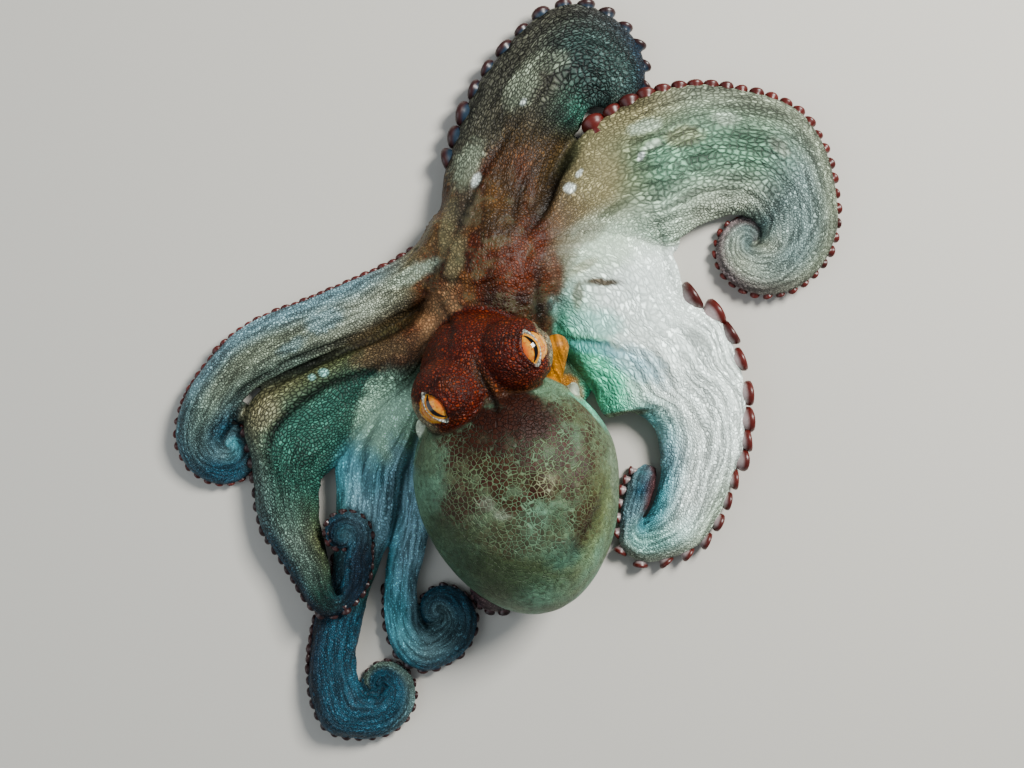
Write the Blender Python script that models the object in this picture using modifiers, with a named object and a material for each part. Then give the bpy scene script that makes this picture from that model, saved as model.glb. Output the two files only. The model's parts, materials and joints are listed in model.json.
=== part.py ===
"""Common octopus lying at rest, life size, with its arms curled.

All driving dimensions are in millimetres, from the middle of the arm crown (x to the
animal's right-hand side of the pose, y away from its body, z up from the floor).  The
last step moves the model so that its origin is at the bottom centre of its box.
"""
from math import cos, radians, sin

import bmesh
import bpy
import numpy as np
from mathutils import Euler, Vector

MM = 0.001
GAP = 0.3                      # clearance between neighbouring solids

# --- crown and arms ---------------------------------------------------------------
CROWN_CENTRE = (-2.0, 2.0, 4.0)
CROWN_AXES = (18.0, 25.0, 15.5)
CROWN_RISE = 13.0              # how much higher the arms are where they leave the mouth
CROWN_REACH = 40.0             # distance over which that rise fades
CROWN_FADE = 1.5               # and how sharply it does
FLOOR_BLOCK = (400.0, 20.0)    # side and depth of the block that cuts everything below the floor
FLOOR_SINK = 3.0               # how far the web's pieces pass the floor before it cuts them
WEB_OVERRUN = 3.0              # how far they pass the arms' first cuts
WEB_VOXEL = 1.0                # the web's pieces melt into one form at this fineness
WEB_SOFTENING = (0.6, 6)       # smoothing of that form: strength and rounds
WEB_DETAIL = 0.034             # share of its faces that is kept
ARM_ASPECT = 0.62              # height to width of a free arm
ARM_FULL_HEIGHT = 8.6          # height where the arm starts to spread into its web
WEB_WIDTH = 14.0               # width from which it spreads
WEB_SLOPE = 0.08               # extra height for each millimetre of width beyond that
RING_STEP = 0.36               # ring spacing as a share of the arm's width
RING_STEP_RANGE = (2.0, 6.0)
LAST_STEP = 1.5                # the last ring spacing is at least half and at most this many steps
WEB_RING_STEP = 8.0            # ring spacing under the web, where nothing bends sharply
SUCKER_INSET = 0.25            # how far a sucker's rim lies inside its face, as a share of its height
SUCKER_HEIGHT = 0.22           # and how far it stands out, as a share of the ring spacing
SUCKER_MIN_WIDTH = 4.0         # narrower than this the suckers are left out
COIL_GAP = 1.4 * GAP           # clearance between the turns of a coil
COIL_MIN_WIDTH = 1.0           # least width of an arm in its coil
CORE_OVERLAP = 0.75            # how far the dome in a coil's eye reaches into the turn around it
CORE_HEIGHT = 0.30             # its half height, as a share of that turn's outer radius times ARM_ASPECT
CORE_LIFT = 0.4                # and how far it stays above the arm's underside
OUTER_SIDE = 1                 # which side of a section carries them
BASE = 4                       # the column of a station that holds its height off the floor

# Web between neighbouring arms: flattened domes centred FLOOR_SINK below the floor, as
# centre x, y and half sizes along x, y and z.
WEB_PANELS = (
    (13.0, 28.0, 7.0, 9.0, 9.0), (33.0, 9.0, 9.5, 7.0, 9.0), (-31.0, -31.0, 13.0, 13.0, 8.5),
    (-18.0, -8.0, 9.0, 8.0, 10.0), (12.0, -10.0, 7.0, 9.0, 10.0), (40.0, 12.0, 5.5, 5.5, 7.0),
    (17.0, 34.0, 4.5, 5.0, 7.0),
)

# Half of an arm's section: (share of half width, share of height), from floor to crest.
HALF_SECTION = ((0.62, 0.0), (0.96, 0.20), (1.0, 0.45), (0.80, 0.78), (0.36, 0.98))

# Each arm: the outer and inner edge at hand-placed stations (outer x, y, inner x, y, base),
# an optional closing coil, the station where the arm leaves the web, and its two cuts,
# as shares of the free length.  The outer edge carries the suckers.  A pressed arm loses
# height evenly from a station on, down to a share of it at the tip.
ARMS = {
    "arm_r1": {
        "stations": (
            (-14.0, 8.0, 9.0, 8.0, 0), (-14.0, 25.0, 12.0, 25.5, 0), (-11.0, 37.0, 16.0, 35.0, 0),
            (-5.5, 50.5, 19.5, 39.5, 0), (0.5, 58.5, 20.5, 42.5, 0), (9.0, 67.0, 22.0, 44.5, 0),
            (18.0, 70.5, 24.0, 45.5, 0), (27.5, 67.5, 26.0, 45.0, 0), (34.0, 60.5, 27.0, 44.0, 0),
            (36.0, 53.0, 28.0, 43.0, 0), (34.5, 47.0, 29.0, 41.5, 0), (32.0, 42.0, 29.0, 40.0, 0)),
        "root": 2, "cuts": (0.34, 0.68), "pressed": (8, 0.45),
    },
    "arm_r2": {
        "stations": (
            (0.0, 13.0, 8.0, -2.0, 0), (11.0, 25.5, 21.0, 8.0, 0), (21.0, 38.5, 31.0, 11.0, 1.5),
            (34.0, 46.5, 42.5, 12.0, 3.4), (47.0, 50.0, 49.5, 16.0, 1.5), (60.5, 49.0, 56.5, 18.3, 0),
            (73.0, 44.5, 62.0, 18.0, 0), (80.5, 34.5, 65.0, 15.8, 0)),
        "coil": {"centre": (62.2, 12.1), "start": 20, "radius": 22.7, "shrink": 0.632,
                 "turn": -1, "quarters": 5.4, "base": 0},
        "root": 2.4, "cuts": (0.36, 0.68),
    },
    "arm_r3": {
        "stations": (
            (9.0, 13.0, 4.0, -6.0, 0), (27.0, 15.0, 12.0, -5.0, 0), (42.0, 9.0, 14.0, -12.0, 0),
            (46.0, -1.5, 18.5, -18.5, 0), (54.5, -8.0, 23.0, -25.0, 0),
            (58.5, -17.0, 26.5, -31.5, 0), (60.5, -25.5, 33.0, -30.5, 0), (60.5, -33.5, 38.2, -34.0, 0),
            (60.0, -40.0, 39.8, -40.5, 0), (57.5, -46.5, 39.8, -46.0, 0), (55.0, -54.0, 39.0, -50.5, 0),
            (50.0, -62.5, 37.5, -54.5, 0), (42.5, -66.5, 35.8, -57.0, 0), (35.0, -67.5, 34.9, -58.1, 0),
            (30.0, -63.7, 35.1, -56.9, 0), (30.0, -57.0, 36.8, -54.0, 0), (31.0, -50.0, 38.3, -50.2, 0),
            (33.0, -45.8, 39.0, -46.6, 0), (36.0, -43.2, 39.0, -44.4, 0)),
        "root": 3.4, "cuts": (0.32, 0.66),
    },
    "arm_r4": {
        "stations": (
            (11.0, -6.0, 2.0, -8.0, 0), (17.0, -22.0, 8.0, -22.0, 0), (17.5, -36.0, 9.5, -36.0, 0),
            (16.0, -50.0, 8.5, -50.0, 0), (14.0, -61.0, 8.0, -60.5, 0), (11.0, -71.0, 5.5, -68.0, 0),
            (6.5, -77.5, 3.0, -71.5, 0), (1.0, -80.0, 0.5, -74.0, 0), (-4.0, -79.5, -2.0, -74.5, 0),
            (-7.0, -76.5, -4.5, -73.5, 0), (-8.0, -73.0, -6.0, -72.5, 0)),
        "root": 1, "cuts": (0.36, 0.70),
    },
    "arm_l1": {
        "stations": (
            (-10.0, 20.0, -2.0, -1.0, 0), (-16.0, 18.0, -13.0, 1.5, 0), (-20.0, 11.5, -17.0, -2.5, 0),
            (-25.5, 7.0, -21.5, -6.0, 0), (-35.5, 2.5, -31.0, -11.5, 0),
            (-48.5, -3.0, -44.5, -17.5, 0), (-60.0, -7.5, -53.5, -21.0, 0),
            (-68.5, -13.5, -60.0, -24.5, 0), (-75.2, -22.0, -64.6, -29.0, 0),
            (-77.8, -26.2, -66.9, -33.9, 0)),
        "coil": {"centre": (-66.7, -38.7), "start": 143, "radius": 15.6, "shrink": 0.70,
                 "turn": 1, "quarters": 4.6, "base": 0},
        "root": 2, "cuts": (0.34, 0.60),
    },
    "arm_l2": {
        "stations": (
            (-6.0, 0.0, -6.0, -14.0, 0), (-15.0, -3.0, -15.0, -15.0, 0), (-24.5, -7.8, -21.0, -24.0, 0),
            (-36.5, -13.6, -31.0, -33.0, 0), (-48.5, -19.2, -37.0, -40.0, 0),
            (-59.6, -25.2, -41.5, -44.0, 0), (-63.3, -33.6, -44.4, -47.0, 0),
            (-61.4, -42.5, -45.2, -50.5, 0), (-60.0, -55.5, -45.2, -56.0, 0),
            (-57.0, -62.5, -43.8, -61.5, 1), (-51.5, -70.5, -42.4, -67.5, 3),
            (-47.5, -76.8, -41.4, -73.0, 5.5), (-43.0, -80.4, -40.2, -75.2, 7.6),
            (-38.2, -79.4, -39.0, -75.0, 7.6), (-34.4, -76.0, -38.6, -73.2, 7.6),
            (-32.0, -71.5, -38.0, -70.0, 7.6), (-31.2, -66.5, -38.0, -66.6, 7.6)),
        "coil": {"centre": (-38.3, -60.4), "start": -22, "radius": 7.6, "shrink": 0.80,
                 "turn": 1, "quarters": 3.4, "base": 7.6},
        "root": 4.9, "cuts": (0.40, 0.70),
    },
    "arm_l3": {
        "stations": (
            (-8.0, -10.0, -12.0, -22.0, 0), (-18.0, -17.0, -20.0, -32.0, 0), (-31.0, -28.0, -22.0, -39.0, 0),
            (-40.0, -41.5, -23.6, -45.0, 0), (-40.4, -49.5, -25.6, -54.5, 0),
            (-40.8, -57.0, -27.4, -62.0, 0), (-41.2, -67.0, -29.8, -67.5, 0),
            (-42.6, -75.0, -32.4, -75.0, 0), (-45.6, -81.0, -34.2, -81.0, 0),
            (-46.6, -86.5, -35.2, -86.0, 0), (-47.4, -92.5, -35.8, -92.0, 0),
            (-46.8, -101.0, -34.8, -96.8, 0), (-43.0, -109.2, -33.2, -99.8, 0)),
        "coil": {"centre": (-29.7, -98.2), "start": 246, "radius": 14.3, "shrink": 0.66,
                 "turn": 1, "quarters": 4.6, "base": 0},
        "root": 2.6, "cuts": (0.38, 0.70),
    },
    "arm_l4": {
        "stations": (
            (-11.0, -18.0, -6.0, -20.0, 0), (-18.5, -30.0, -13.0, -31.0, 0), (-22.6, -40.0, -16.5, -40.0, 0),
            (-24.6, -48.5, -17.2, -50.0, 0), (-25.8, -57.0, -17.6, -58.5, 0), (-27.6, -64.5, -18.8, -65.5, 0),
            (-28.5, -72.0, -20.4, -72.0, 0), (-28.8, -78.5, -20.6, -78.0, 0), (-28.0, -85.5, -20.0, -81.8, 0),
            (-25.0, -91.5, -18.8, -83.4, 0), (-19.0, -94.6, -17.2, -83.8, 0)),
        "coil": {"centre": (-15.4, -80.2), "start": 282, "radius": 12.8, "shrink": 0.70,
                 "turn": 1, "quarters": 4.8, "base": 0},
        "root": 1.9, "cuts": (0.40, 0.70),
    },
}

# --- head, eyes, funnel and mantle ------------------------------------------------
HEAD_CENTRE = (-4.5, -21.5, 17.0)
HEAD_AXES = (14.5, 15.5, 16.0)
EYE_BULGES = {"eye_left": (-11.7, -26.3, 27.5), "eye_right": (3.7, -16.7, 27.5)}
EYE_BULGE_RADIUS = 8.9
EYEBALL_RADIUS = 5.0
EYEBALL_OUT = {"eye_left": (-2.05, -1.77, 3.47), "eye_right": (2.52, 1.0, 3.47)}
FUNNEL_START = (11.5, -25.5, 11.0)
FUNNEL_END = (13.6, -14.6, 18.0)
FUNNEL_RADIUS = 3.1
FUNNEL_BORE = 1.6
FUNNEL_BORE_DEPTH = 5.0
MANTLE_CENTRE = (4.8, -49.7, 19.4)
MANTLE_AXES = (24.1, 29.0, 20.0)
MANTLE_TILT = 14.0             # degrees, about the vertical
MANTLE_TAPER = 0.13            # how much wider its front end is than its back end

MATERIALS = {                  # colour, roughness, metallic
    "skin_mantle": ((0.30, 0.34, 0.24), 0.45, 0.0),
    "skin_head": ((0.26, 0.07, 0.03), 0.45, 0.0),
    "skin_web": ((0.36, 0.33, 0.26), 0.5, 0.0),
    "skin_arm": ((0.22, 0.33, 0.35), 0.5, 0.0),
    "eye": ((0.65, 0.30, 0.06), 0.15, 0.0),
    "funnel": ((0.62, 0.42, 0.08), 0.4, 0.0),
}


def clear_scene():
    for item in list(bpy.data.objects):
        bpy.data.objects.remove(item, do_unlink=True)


def make_collection(name):
    collection = bpy.data.collections.new(name)
    bpy.context.scene.collection.children.link(collection)
    return collection


def make_material(name):
    colour, roughness, metallic = MATERIALS[name]
    material = bpy.data.materials.new(name)
    material.use_nodes = True
    shader = material.node_tree.nodes["Principled BSDF"]
    shader.inputs["Base Color"].default_value = (*colour, 1.0)
    shader.inputs["Roughness"].default_value = roughness
    shader.inputs["Metallic"].default_value = metallic
    return material


def add_object(name, mesh, collection, material=None):
    item = bpy.data.objects.new(name, mesh)
    collection.objects.link(item)
    if material:
        mesh.materials.append(material)
    return item


# --- smooth arms ------------------------------------------------------------------
def coil_stations(coil):
    """Edges of a spiral that shrinks by the same share each quarter turn."""
    per_turn = coil["shrink"] ** 4
    count = int(coil["quarters"] * 4)
    for step in range(count + 1):
        quarter = step / 4
        outer = coil["radius"] * coil["shrink"] ** quarter
        inner = min(outer * per_turn + COIL_GAP, outer - COIL_MIN_WIDTH)
        angle = radians(coil["start"] + coil["turn"] * 90 * quarter)
        x, y = coil["centre"]
        yield (x + outer * cos(angle), y + outer * sin(angle),
               x + inner * cos(angle), y + inner * sin(angle), coil["base"])


def smooth(points, at):
    """Catmull-Rom curve through the rows of points, read at fractional row numbers."""
    points = np.asarray(points, float)
    last = len(points) - 1
    at = np.clip(np.asarray(at, float), 0, last)
    row = np.minimum(at.astype(int), last - 1)
    t = (at - row)[:, None]
    slope = np.gradient(points, axis=0)
    start, end = points[row], points[row + 1]
    ahead = (3 - 2 * t) * t * t
    curve = (start * (1 - ahead) + end * ahead
             + slope[row] * t * (1 - t) ** 2 - slope[row + 1] * t * t * (1 - t))
    curve[:, BASE] = np.maximum(curve[:, BASE], 0)
    return curve


def arm_rows(arm):
    """Every station of an arm, with its share of the full height as a sixth column."""
    rows = list(arm["stations"])
    if "coil" in arm:
        rows += list(coil_stations(arm["coil"]))
    start, least = arm.get("pressed", (len(rows), 1.0))
    share = np.interp(range(len(rows)), (start, max(start + 1, len(rows) - 1)), (1.0, least))
    return np.column_stack((rows, share))


def arm_length(rows):
    """Fine row numbers along an arm and the distance travelled at each."""
    fine = np.linspace(0, len(rows) - 1, (len(rows) - 1) * 12 + 1)
    edge = smooth(rows, fine)
    middle = (edge[:, :2] + edge[:, 2:4]) / 2
    along = np.r_[0, np.cumsum(np.linalg.norm(np.diff(middle, axis=0), axis=1))]
    return fine, along


def arm_height(edge):
    width = np.hypot(*(edge[:2] - edge[2:4]))
    height = min(ARM_ASPECT * width, ARM_FULL_HEIGHT) + WEB_SLOPE * max(0.0, width - WEB_WIDTH)
    middle = (edge[:2] + edge[2:4]) / 2
    nearness = max(0.0, 1 - np.hypot(*middle) / CROWN_REACH)
    return edge[5] * height + CROWN_RISE * nearness ** CROWN_FADE


def arm_ring(edge, grow=0.0, sink=0.0):
    """One cross-section, from the outer edge's side over the crest to the inner side."""
    outer = Vector((*edge[:2], 0))
    inner = Vector((*edge[2:4], 0))
    middle = (outer + inner) / 2
    across = (outer - inner) / 2
    reach = across.length + grow
    across.normalize()
    height = arm_height(edge)
    ring = []
    for side, half in ((1, HALF_SECTION), (-1, HALF_SECTION[::-1])):
        for share, level in half:
            point = middle + across * side * share * reach
            point.z = edge[BASE] + level * height + (2 * level - 1) * grow
            point.z -= sink if level == 0 else 0
            ring.append(point)
    return ring


def arm_samples(arm, start, end, grow=0.0, step_range=RING_STEP_RANGE):
    """The edges at each ring between two distances along an arm, its ends grown."""
    rows = arm_rows(arm)
    fine, along = arm_length(rows)
    places = [start]
    while True:
        edge = smooth(rows, [np.interp(places[-1], along, fine)])[0]
        width = np.hypot(*(edge[:2] - edge[2:4]))
        step = min(max(RING_STEP * width, step_range[0]), step_range[1])
        if places[-1] + LAST_STEP * step > end:
            break
        places.append(places[-1] + step)
    places.append(end)
    places[0] -= grow
    places[-1] += grow
    return smooth(rows, np.interp(places, along, fine))


def loft(rings):
    """Closed mesh through equal rings, with both ends capped, and its outer-edge faces."""
    mesh = bmesh.new()
    loops = [[mesh.verts.new(point * MM) for point in ring] for ring in rings]
    count = len(loops[0])
    edge_faces = []
    for first, second in zip(loops, loops[1:]):
        for k in range(count):
            after = (k + 1) % count
            face = mesh.faces.new((first[k], first[after], second[after], second[k]))
            if k == OUTER_SIDE:
                edge_faces.append(face)
    mesh.faces.new(loops[0][::-1])
    mesh.faces.new(loops[-1])
    bmesh.ops.recalc_face_normals(mesh, faces=mesh.faces)
    return mesh, edge_faces


def add_suckers(mesh, faces, grow):
    """A low rim on each outer face, as one row of suckers."""
    for face in faces:
        sides = [edge.calc_length() for edge in face.edges]
        bmesh.ops.inset_individual(mesh, faces=[face], thickness=SUCKER_INSET * min(sides) - grow * MM,
                                   depth=SUCKER_HEIGHT * max(sides))


def finish_mesh(mesh, name):
    bmesh.ops.recalc_face_normals(mesh, faces=mesh.faces)
    if mesh.calc_volume(signed=True) < 0:
        bmesh.ops.reverse_faces(mesh, faces=mesh.faces)
    data = bpy.data.meshes.new(name)
    mesh.to_mesh(data)
    mesh.free()
    return data


def coil_core(coil, grow=0.0):
    """The dome that closes the eye of a coil, where its last turn would leave a hole."""
    last_turn = coil["radius"] * coil["shrink"] ** (coil["quarters"] - 4)
    radius = last_turn * coil["shrink"] ** 4 + CORE_OVERLAP
    half_height = CORE_HEIGHT * ARM_ASPECT * last_turn
    centre = (*coil["centre"], coil["base"] + CORE_LIFT + half_height)
    return ellipsoid("core", centre, (radius, radius, half_height), grow, segments=8, rings=5)


def arm_solid(name, arm, start, end, grow=0.0):
    """One free length of an arm, with the row of suckers on its outer edge."""
    edges = arm_samples(arm, start, end, grow)
    mesh, faces = loft([arm_ring(edge, grow) for edge in edges])
    widths = np.hypot(edges[:, 0] - edges[:, 2], edges[:, 1] - edges[:, 3])
    wide = [face for face, width in zip(faces, widths[1:]) if width > SUCKER_MIN_WIDTH]
    add_suckers(mesh, wide, grow)
    return finish_mesh(mesh, name)


def arm_beginning(name, arm, start, end):
    """An arm inside the web, which reaches below the floor to be cut off level."""
    edges = arm_samples(arm, start, end, step_range=(WEB_RING_STEP, WEB_RING_STEP))
    mesh, _ = loft([arm_ring(edge, sink=FLOOR_SINK) for edge in edges])
    return finish_mesh(mesh, name)


def arm_stops(arm):
    """Distances along an arm: where its web root starts and ends, its cuts and its tip."""
    fine, along = arm_length(arm_rows(arm))
    root = np.interp(arm["root"], fine, along)
    free = along[-1] - root
    first, second = (root + share * free for share in arm["cuts"])
    return 0.0, root, first, second, along[-1]


# --- round parts ------------------------------------------------------------------
def ellipsoid(name, centre, axes, grow=0.0, tilt=0.0, taper=0.0, segments=16, rings=10):
    """A sphere stretched to three half axes; taper widens its +y end."""
    mesh = bmesh.new()
    bmesh.ops.create_uvsphere(mesh, u_segments=segments, v_segments=rings, radius=1)
    turn = Euler((0, 0, radians(tilt))).to_matrix()
    for vert in mesh.verts:
        local = Vector([(axes[k] + grow) * vert.co[k] for k in range(3)])
        local.x *= 1 + taper * vert.co.y
        vert.co = (turn @ local + Vector(centre)) * MM
    return finish_mesh(mesh, name)


def tube(name, start, end, radius):
    """A solid round bar between two points."""
    mesh = bmesh.new()
    start, end = Vector(start) * MM, Vector(end) * MM
    axis = end - start
    bmesh.ops.create_cone(mesh, cap_ends=True, segments=14, radius1=radius * MM,
                          radius2=radius * MM, depth=axis.length)
    turn = axis.to_track_quat("Z", "Y").to_matrix().to_4x4()
    bmesh.ops.transform(mesh, matrix=turn, verts=mesh.verts)
    bmesh.ops.translate(mesh, vec=(start + end) / 2, verts=mesh.verts)
    return finish_mesh(mesh, name)


# --- Booleans ---------------------------------------------------------------------
def as_cutter(item):
    item.hide_render = True
    item.display_type = "WIRE"
    return item


def combine(target, tool, operation):
    change = target.modifiers.new(f"{operation.lower()}_{tool.name}", "BOOLEAN")
    change.operation = operation
    change.solver = "EXACT"
    change.use_self = True       # a coil's grown copy may touch itself
    change.object = tool


def union(target, tool):
    combine(target, tool, "UNION")


def subtract(target, tool):
    combine(target, tool, "DIFFERENCE")


def floor_block():
    """Everything below the floor."""
    side, depth = FLOOR_BLOCK[0] * MM, FLOOR_BLOCK[1] * MM
    mesh = bmesh.new()
    bmesh.ops.create_cube(mesh, size=1)
    bmesh.ops.scale(mesh, vec=(side, side, depth), verts=mesh.verts)
    bmesh.ops.translate(mesh, vec=(0, 0, -depth / 2), verts=mesh.verts)
    return finish_mesh(mesh, "floor_block")


# --- the octopus ------------------------------------------------------------------
def arm_lengths(name):
    """The three free lengths of an arm: (node name, start, end)."""
    _, root, first, second, tip = arm_stops(ARMS[name])
    half = GAP / 2
    return ((f"{name}_root", root + half, first - half),
            (f"{name}_mid", first + half, second - half),
            (f"{name}_tip", second + half, tip))


def head_shapes(grow=0.0):
    yield ellipsoid("head", HEAD_CENTRE, HEAD_AXES, grow)
    for centre in EYE_BULGES.values():
        yield ellipsoid("bulge", centre, (EYE_BULGE_RADIUS,) * 3, grow)


def eyeball(name, grow=0.0):
    middle = [c + out for c, out in zip(EYE_BULGES[name], EYEBALL_OUT[name])]
    return ellipsoid(name, middle, (EYEBALL_RADIUS,) * 3, grow, segments=12, rings=8)


def mantle_shape(grow=0.0):
    return ellipsoid("mantle", MANTLE_CENTRE, MANTLE_AXES, grow, MANTLE_TILT, MANTLE_TAPER,
                     segments=20, rings=14)


def web_pieces():
    """The crown, the web panels and the arms' beginnings, which run into each other."""
    yield ellipsoid("crown", CROWN_CENTRE, CROWN_AXES)
    for x, y, *half_sizes in WEB_PANELS:
        yield ellipsoid("panel", (x, y, -FLOOR_SINK), half_sizes)
    for name, arm in ARMS.items():
        start, root = arm_stops(arm)[:2]
        yield arm_beginning(name, arm, start, root + WEB_OVERRUN)


def joined(name, pieces):
    mesh = bmesh.new()
    for piece in pieces:
        mesh.from_mesh(piece)
        bpy.data.meshes.remove(piece)
    return finish_mesh(mesh, name)


def box(item):
    """Lowest and highest corner of a part with its modifiers applied."""
    shaped = item.evaluated_get(bpy.context.evaluated_depsgraph_get())
    corners = np.array([vert.co for vert in shaped.data.vertices])
    return corners.min(axis=0), corners.max(axis=0)


def meet(first, second):
    low_a, high_a = box(first)
    low_b, high_b = box(second)
    return bool(np.all(low_a <= high_b) and np.all(low_b <= high_a))


class Octopus:
    """The parts made so far, and the grown copies that cut clearance into later parts."""

    def __init__(self):
        self.parts = make_collection("octopus")
        self.cutters = make_collection("cutters")
        self.materials = {name: make_material(name) for name in MATERIALS}
        self.grown = []
        self.floor = self.cutter("floor_block", floor_block())

    def part(self, name, mesh, material):
        return add_object(name, mesh, self.parts, self.materials[material])

    def cutter(self, name, mesh):
        return as_cutter(add_object(name, mesh, self.cutters))

    def clear(self, item, own=""):
        """Cut every earlier neighbour's grown copy out of a part."""
        neighbours = [tool for owner, tool in self.grown if owner != own and meet(item, tool)]
        for tool in neighbours:
            subtract(item, tool)

    def keep_clear(self, owner, mesh):
        self.grown.append((owner, self.cutter(f"{mesh.name}_grown", mesh)))

    def add_head(self):
        body, *bulges = head_shapes()
        head = self.part("head", body, "skin_head")
        for bulge in bulges:
            union(head, self.cutter("eye_bulge", bulge))
        for name in EYE_BULGES:
            self.part(name, eyeball(name), "eye")
            subtract(head, self.cutter(f"{name}_socket", eyeball(name, GAP)))
        for shape in (*head_shapes(GAP), *(eyeball(name, GAP) for name in EYE_BULGES)):
            self.keep_clear("head", shape)

    def add_funnel(self):
        funnel = self.part("funnel", tube("funnel", FUNNEL_START, FUNNEL_END, FUNNEL_RADIUS), "funnel")
        axis = (Vector(FUNNEL_START) - Vector(FUNNEL_END)).normalized()
        mouth, bottom = Vector(FUNNEL_END) - axis, Vector(FUNNEL_END) + axis * FUNNEL_BORE_DEPTH
        subtract(funnel, self.cutter("funnel_bore", tube("bore", mouth, bottom, FUNNEL_BORE)))
        self.clear(funnel)
        start, end = Vector(FUNNEL_START) + axis * GAP, Vector(FUNNEL_END) - axis * GAP
        self.keep_clear("funnel", tube("funnel", start, end, FUNNEL_RADIUS + GAP))

    def add_arm(self, name):
        for node, start, end in arm_lengths(name):
            length = self.part(node, arm_solid(node, ARMS[name], start, end), "skin_arm")
            if "coil" in ARMS[name] and node.endswith("tip"):
                union(length, self.cutter(f"{name}_core", coil_core(ARMS[name]["coil"])))
            self.clear(length, own=name)
        for node, start, end in arm_lengths(name):
            self.keep_clear(name, arm_solid(node, ARMS[name], start, end, grow=GAP))
        if "coil" in ARMS[name]:
            self.keep_clear(name, coil_core(ARMS[name]["coil"], GAP))

    def add_mantle(self):
        mantle = self.part("mantle", mantle_shape(), "skin_mantle")
        subtract(mantle, self.floor)
        self.clear(mantle)
        self.keep_clear("mantle", mantle_shape(GAP))

    def add_web(self):
        """The crown in front of the head and the arms' webbed beginnings, as one soft form."""
        web = self.part("web", joined("web", web_pieces()), "skin_web")
        skin = web.modifiers.new("skin", "REMESH")
        skin.mode = "VOXEL"
        skin.voxel_size = WEB_VOXEL * MM
        soften = web.modifiers.new("soften", "SMOOTH")
        soften.factor, soften.iterations = WEB_SOFTENING
        coarse = web.modifiers.new("coarse", "DECIMATE")
        coarse.ratio = WEB_DETAIL
        subtract(web, self.floor)
        self.clear(web)

    def recentre(self):
        """Move everything so that the origin is at the bottom centre of the parts' box."""
        boxes = np.array([box(item) for item in self.parts.objects])
        low, high = boxes[:, 0].min(axis=0), boxes[:, 1].max(axis=0)
        shift = Vector((-(low[0] + high[0]) / 2, -(low[1] + high[1]) / 2, 0))
        for item in (*self.parts.objects, *self.cutters.objects):
            item.location = shift


def main():
    clear_scene()
    octopus = Octopus()
    octopus.add_head()
    octopus.add_funnel()
    for name in ARMS:
        octopus.add_arm(name)
    octopus.add_mantle()
    octopus.add_web()
    octopus.recentre()


main()
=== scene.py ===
import json
from itertools import product
from math import cos, pi, radians, sin

import bmesh
import bpy
import numpy as np
from mathutils import Euler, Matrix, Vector
from mathutils.kdtree import KDTree


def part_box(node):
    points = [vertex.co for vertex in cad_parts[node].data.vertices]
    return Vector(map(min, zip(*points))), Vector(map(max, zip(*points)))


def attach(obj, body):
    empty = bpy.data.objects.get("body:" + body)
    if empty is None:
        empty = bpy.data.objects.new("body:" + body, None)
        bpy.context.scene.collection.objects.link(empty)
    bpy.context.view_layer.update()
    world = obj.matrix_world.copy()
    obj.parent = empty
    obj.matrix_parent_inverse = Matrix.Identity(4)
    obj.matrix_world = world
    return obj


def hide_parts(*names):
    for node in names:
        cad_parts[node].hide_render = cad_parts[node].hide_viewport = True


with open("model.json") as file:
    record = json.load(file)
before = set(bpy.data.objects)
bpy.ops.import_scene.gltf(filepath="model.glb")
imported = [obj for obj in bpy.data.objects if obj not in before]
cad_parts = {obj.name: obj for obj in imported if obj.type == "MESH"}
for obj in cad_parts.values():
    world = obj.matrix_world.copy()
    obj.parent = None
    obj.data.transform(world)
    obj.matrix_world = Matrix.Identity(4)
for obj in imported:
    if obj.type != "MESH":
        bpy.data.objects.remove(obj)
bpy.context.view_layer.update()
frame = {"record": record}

# A common octopus, life size: one skin over body and arms, a row of suckers on each arm, and
# two eyeballs.
MM = 0.001                     # metres in a millimetre
FAR = 99.0                     # millimetres, for what has no near neighbour
BASE = 4                       # the column of a station that holds its height off the floor

# --- the animal's form, in millimetres from the middle of the arm crown --------------------
CROWN_CENTRE = (-2, 2, 4)
CROWN_AXES = (18, 25, 15.5)
CROWN_RISE = 13
CROWN_REACH = 40
COIL_LAP = 0.45                # how far a coil's turns sink into each other
COIL_STEPS = 4                 # stations in a quarter turn of a coil
COIL_RUN_ON = 1.2              # quarter turns past a coil's last one, to its point
COIL_EYE = 0.1                 # a coil's innermost radius, as a share of its outer edge there
# Web inside a coil: its least radius, how much more for each mm of the coil's, rise, half height.
COIL_PAD = (1.5, 0.24, 1.2, 2)
STATION_STEPS = 12             # points of an arm's curve between two stations
FLOOR_LIFT = 0.7               # room under the skin for the suckers it rests on
SKIN_VOXEL = 0.34
ARM_ASPECT = 0.62              # height as a share of width, up to the full height
ARM_FULL_HEIGHT = 8.6
WEB_WIDTH = 14                 # wider than this, an arm is web and rises by the slope
WEB_SLOPE = 0.08
RING_SPACING = 0.9
# Low swellings of the web: x, y, half sizes and height.
WEB_PANELS = (
    (13, 28, 7, 9, 6), (33, 9, 9.5, 7, 6), (-31, -31, 13, 13, 5.5), (-18, -8, 9, 8, 7),
    (12, -10, 7, 9, 7), (39.5, 12.5, 5.4, 5.4, 8), (17, 34, 4.2, 4.8, 5), (18.5, -21.5, 5, 7.5, 4.5),
    (-64.6, -30.4, 2.4, 2.8, 4.5),
)
# Half of an arm's section, from the middle of its underside: shares of half width and height.
HALF_SECTION = ((0.3, 0), (0.66, 0), (0.96, 0.2), (1, 0.45), (0.8, 0.78), (0.4, 0.97))

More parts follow.
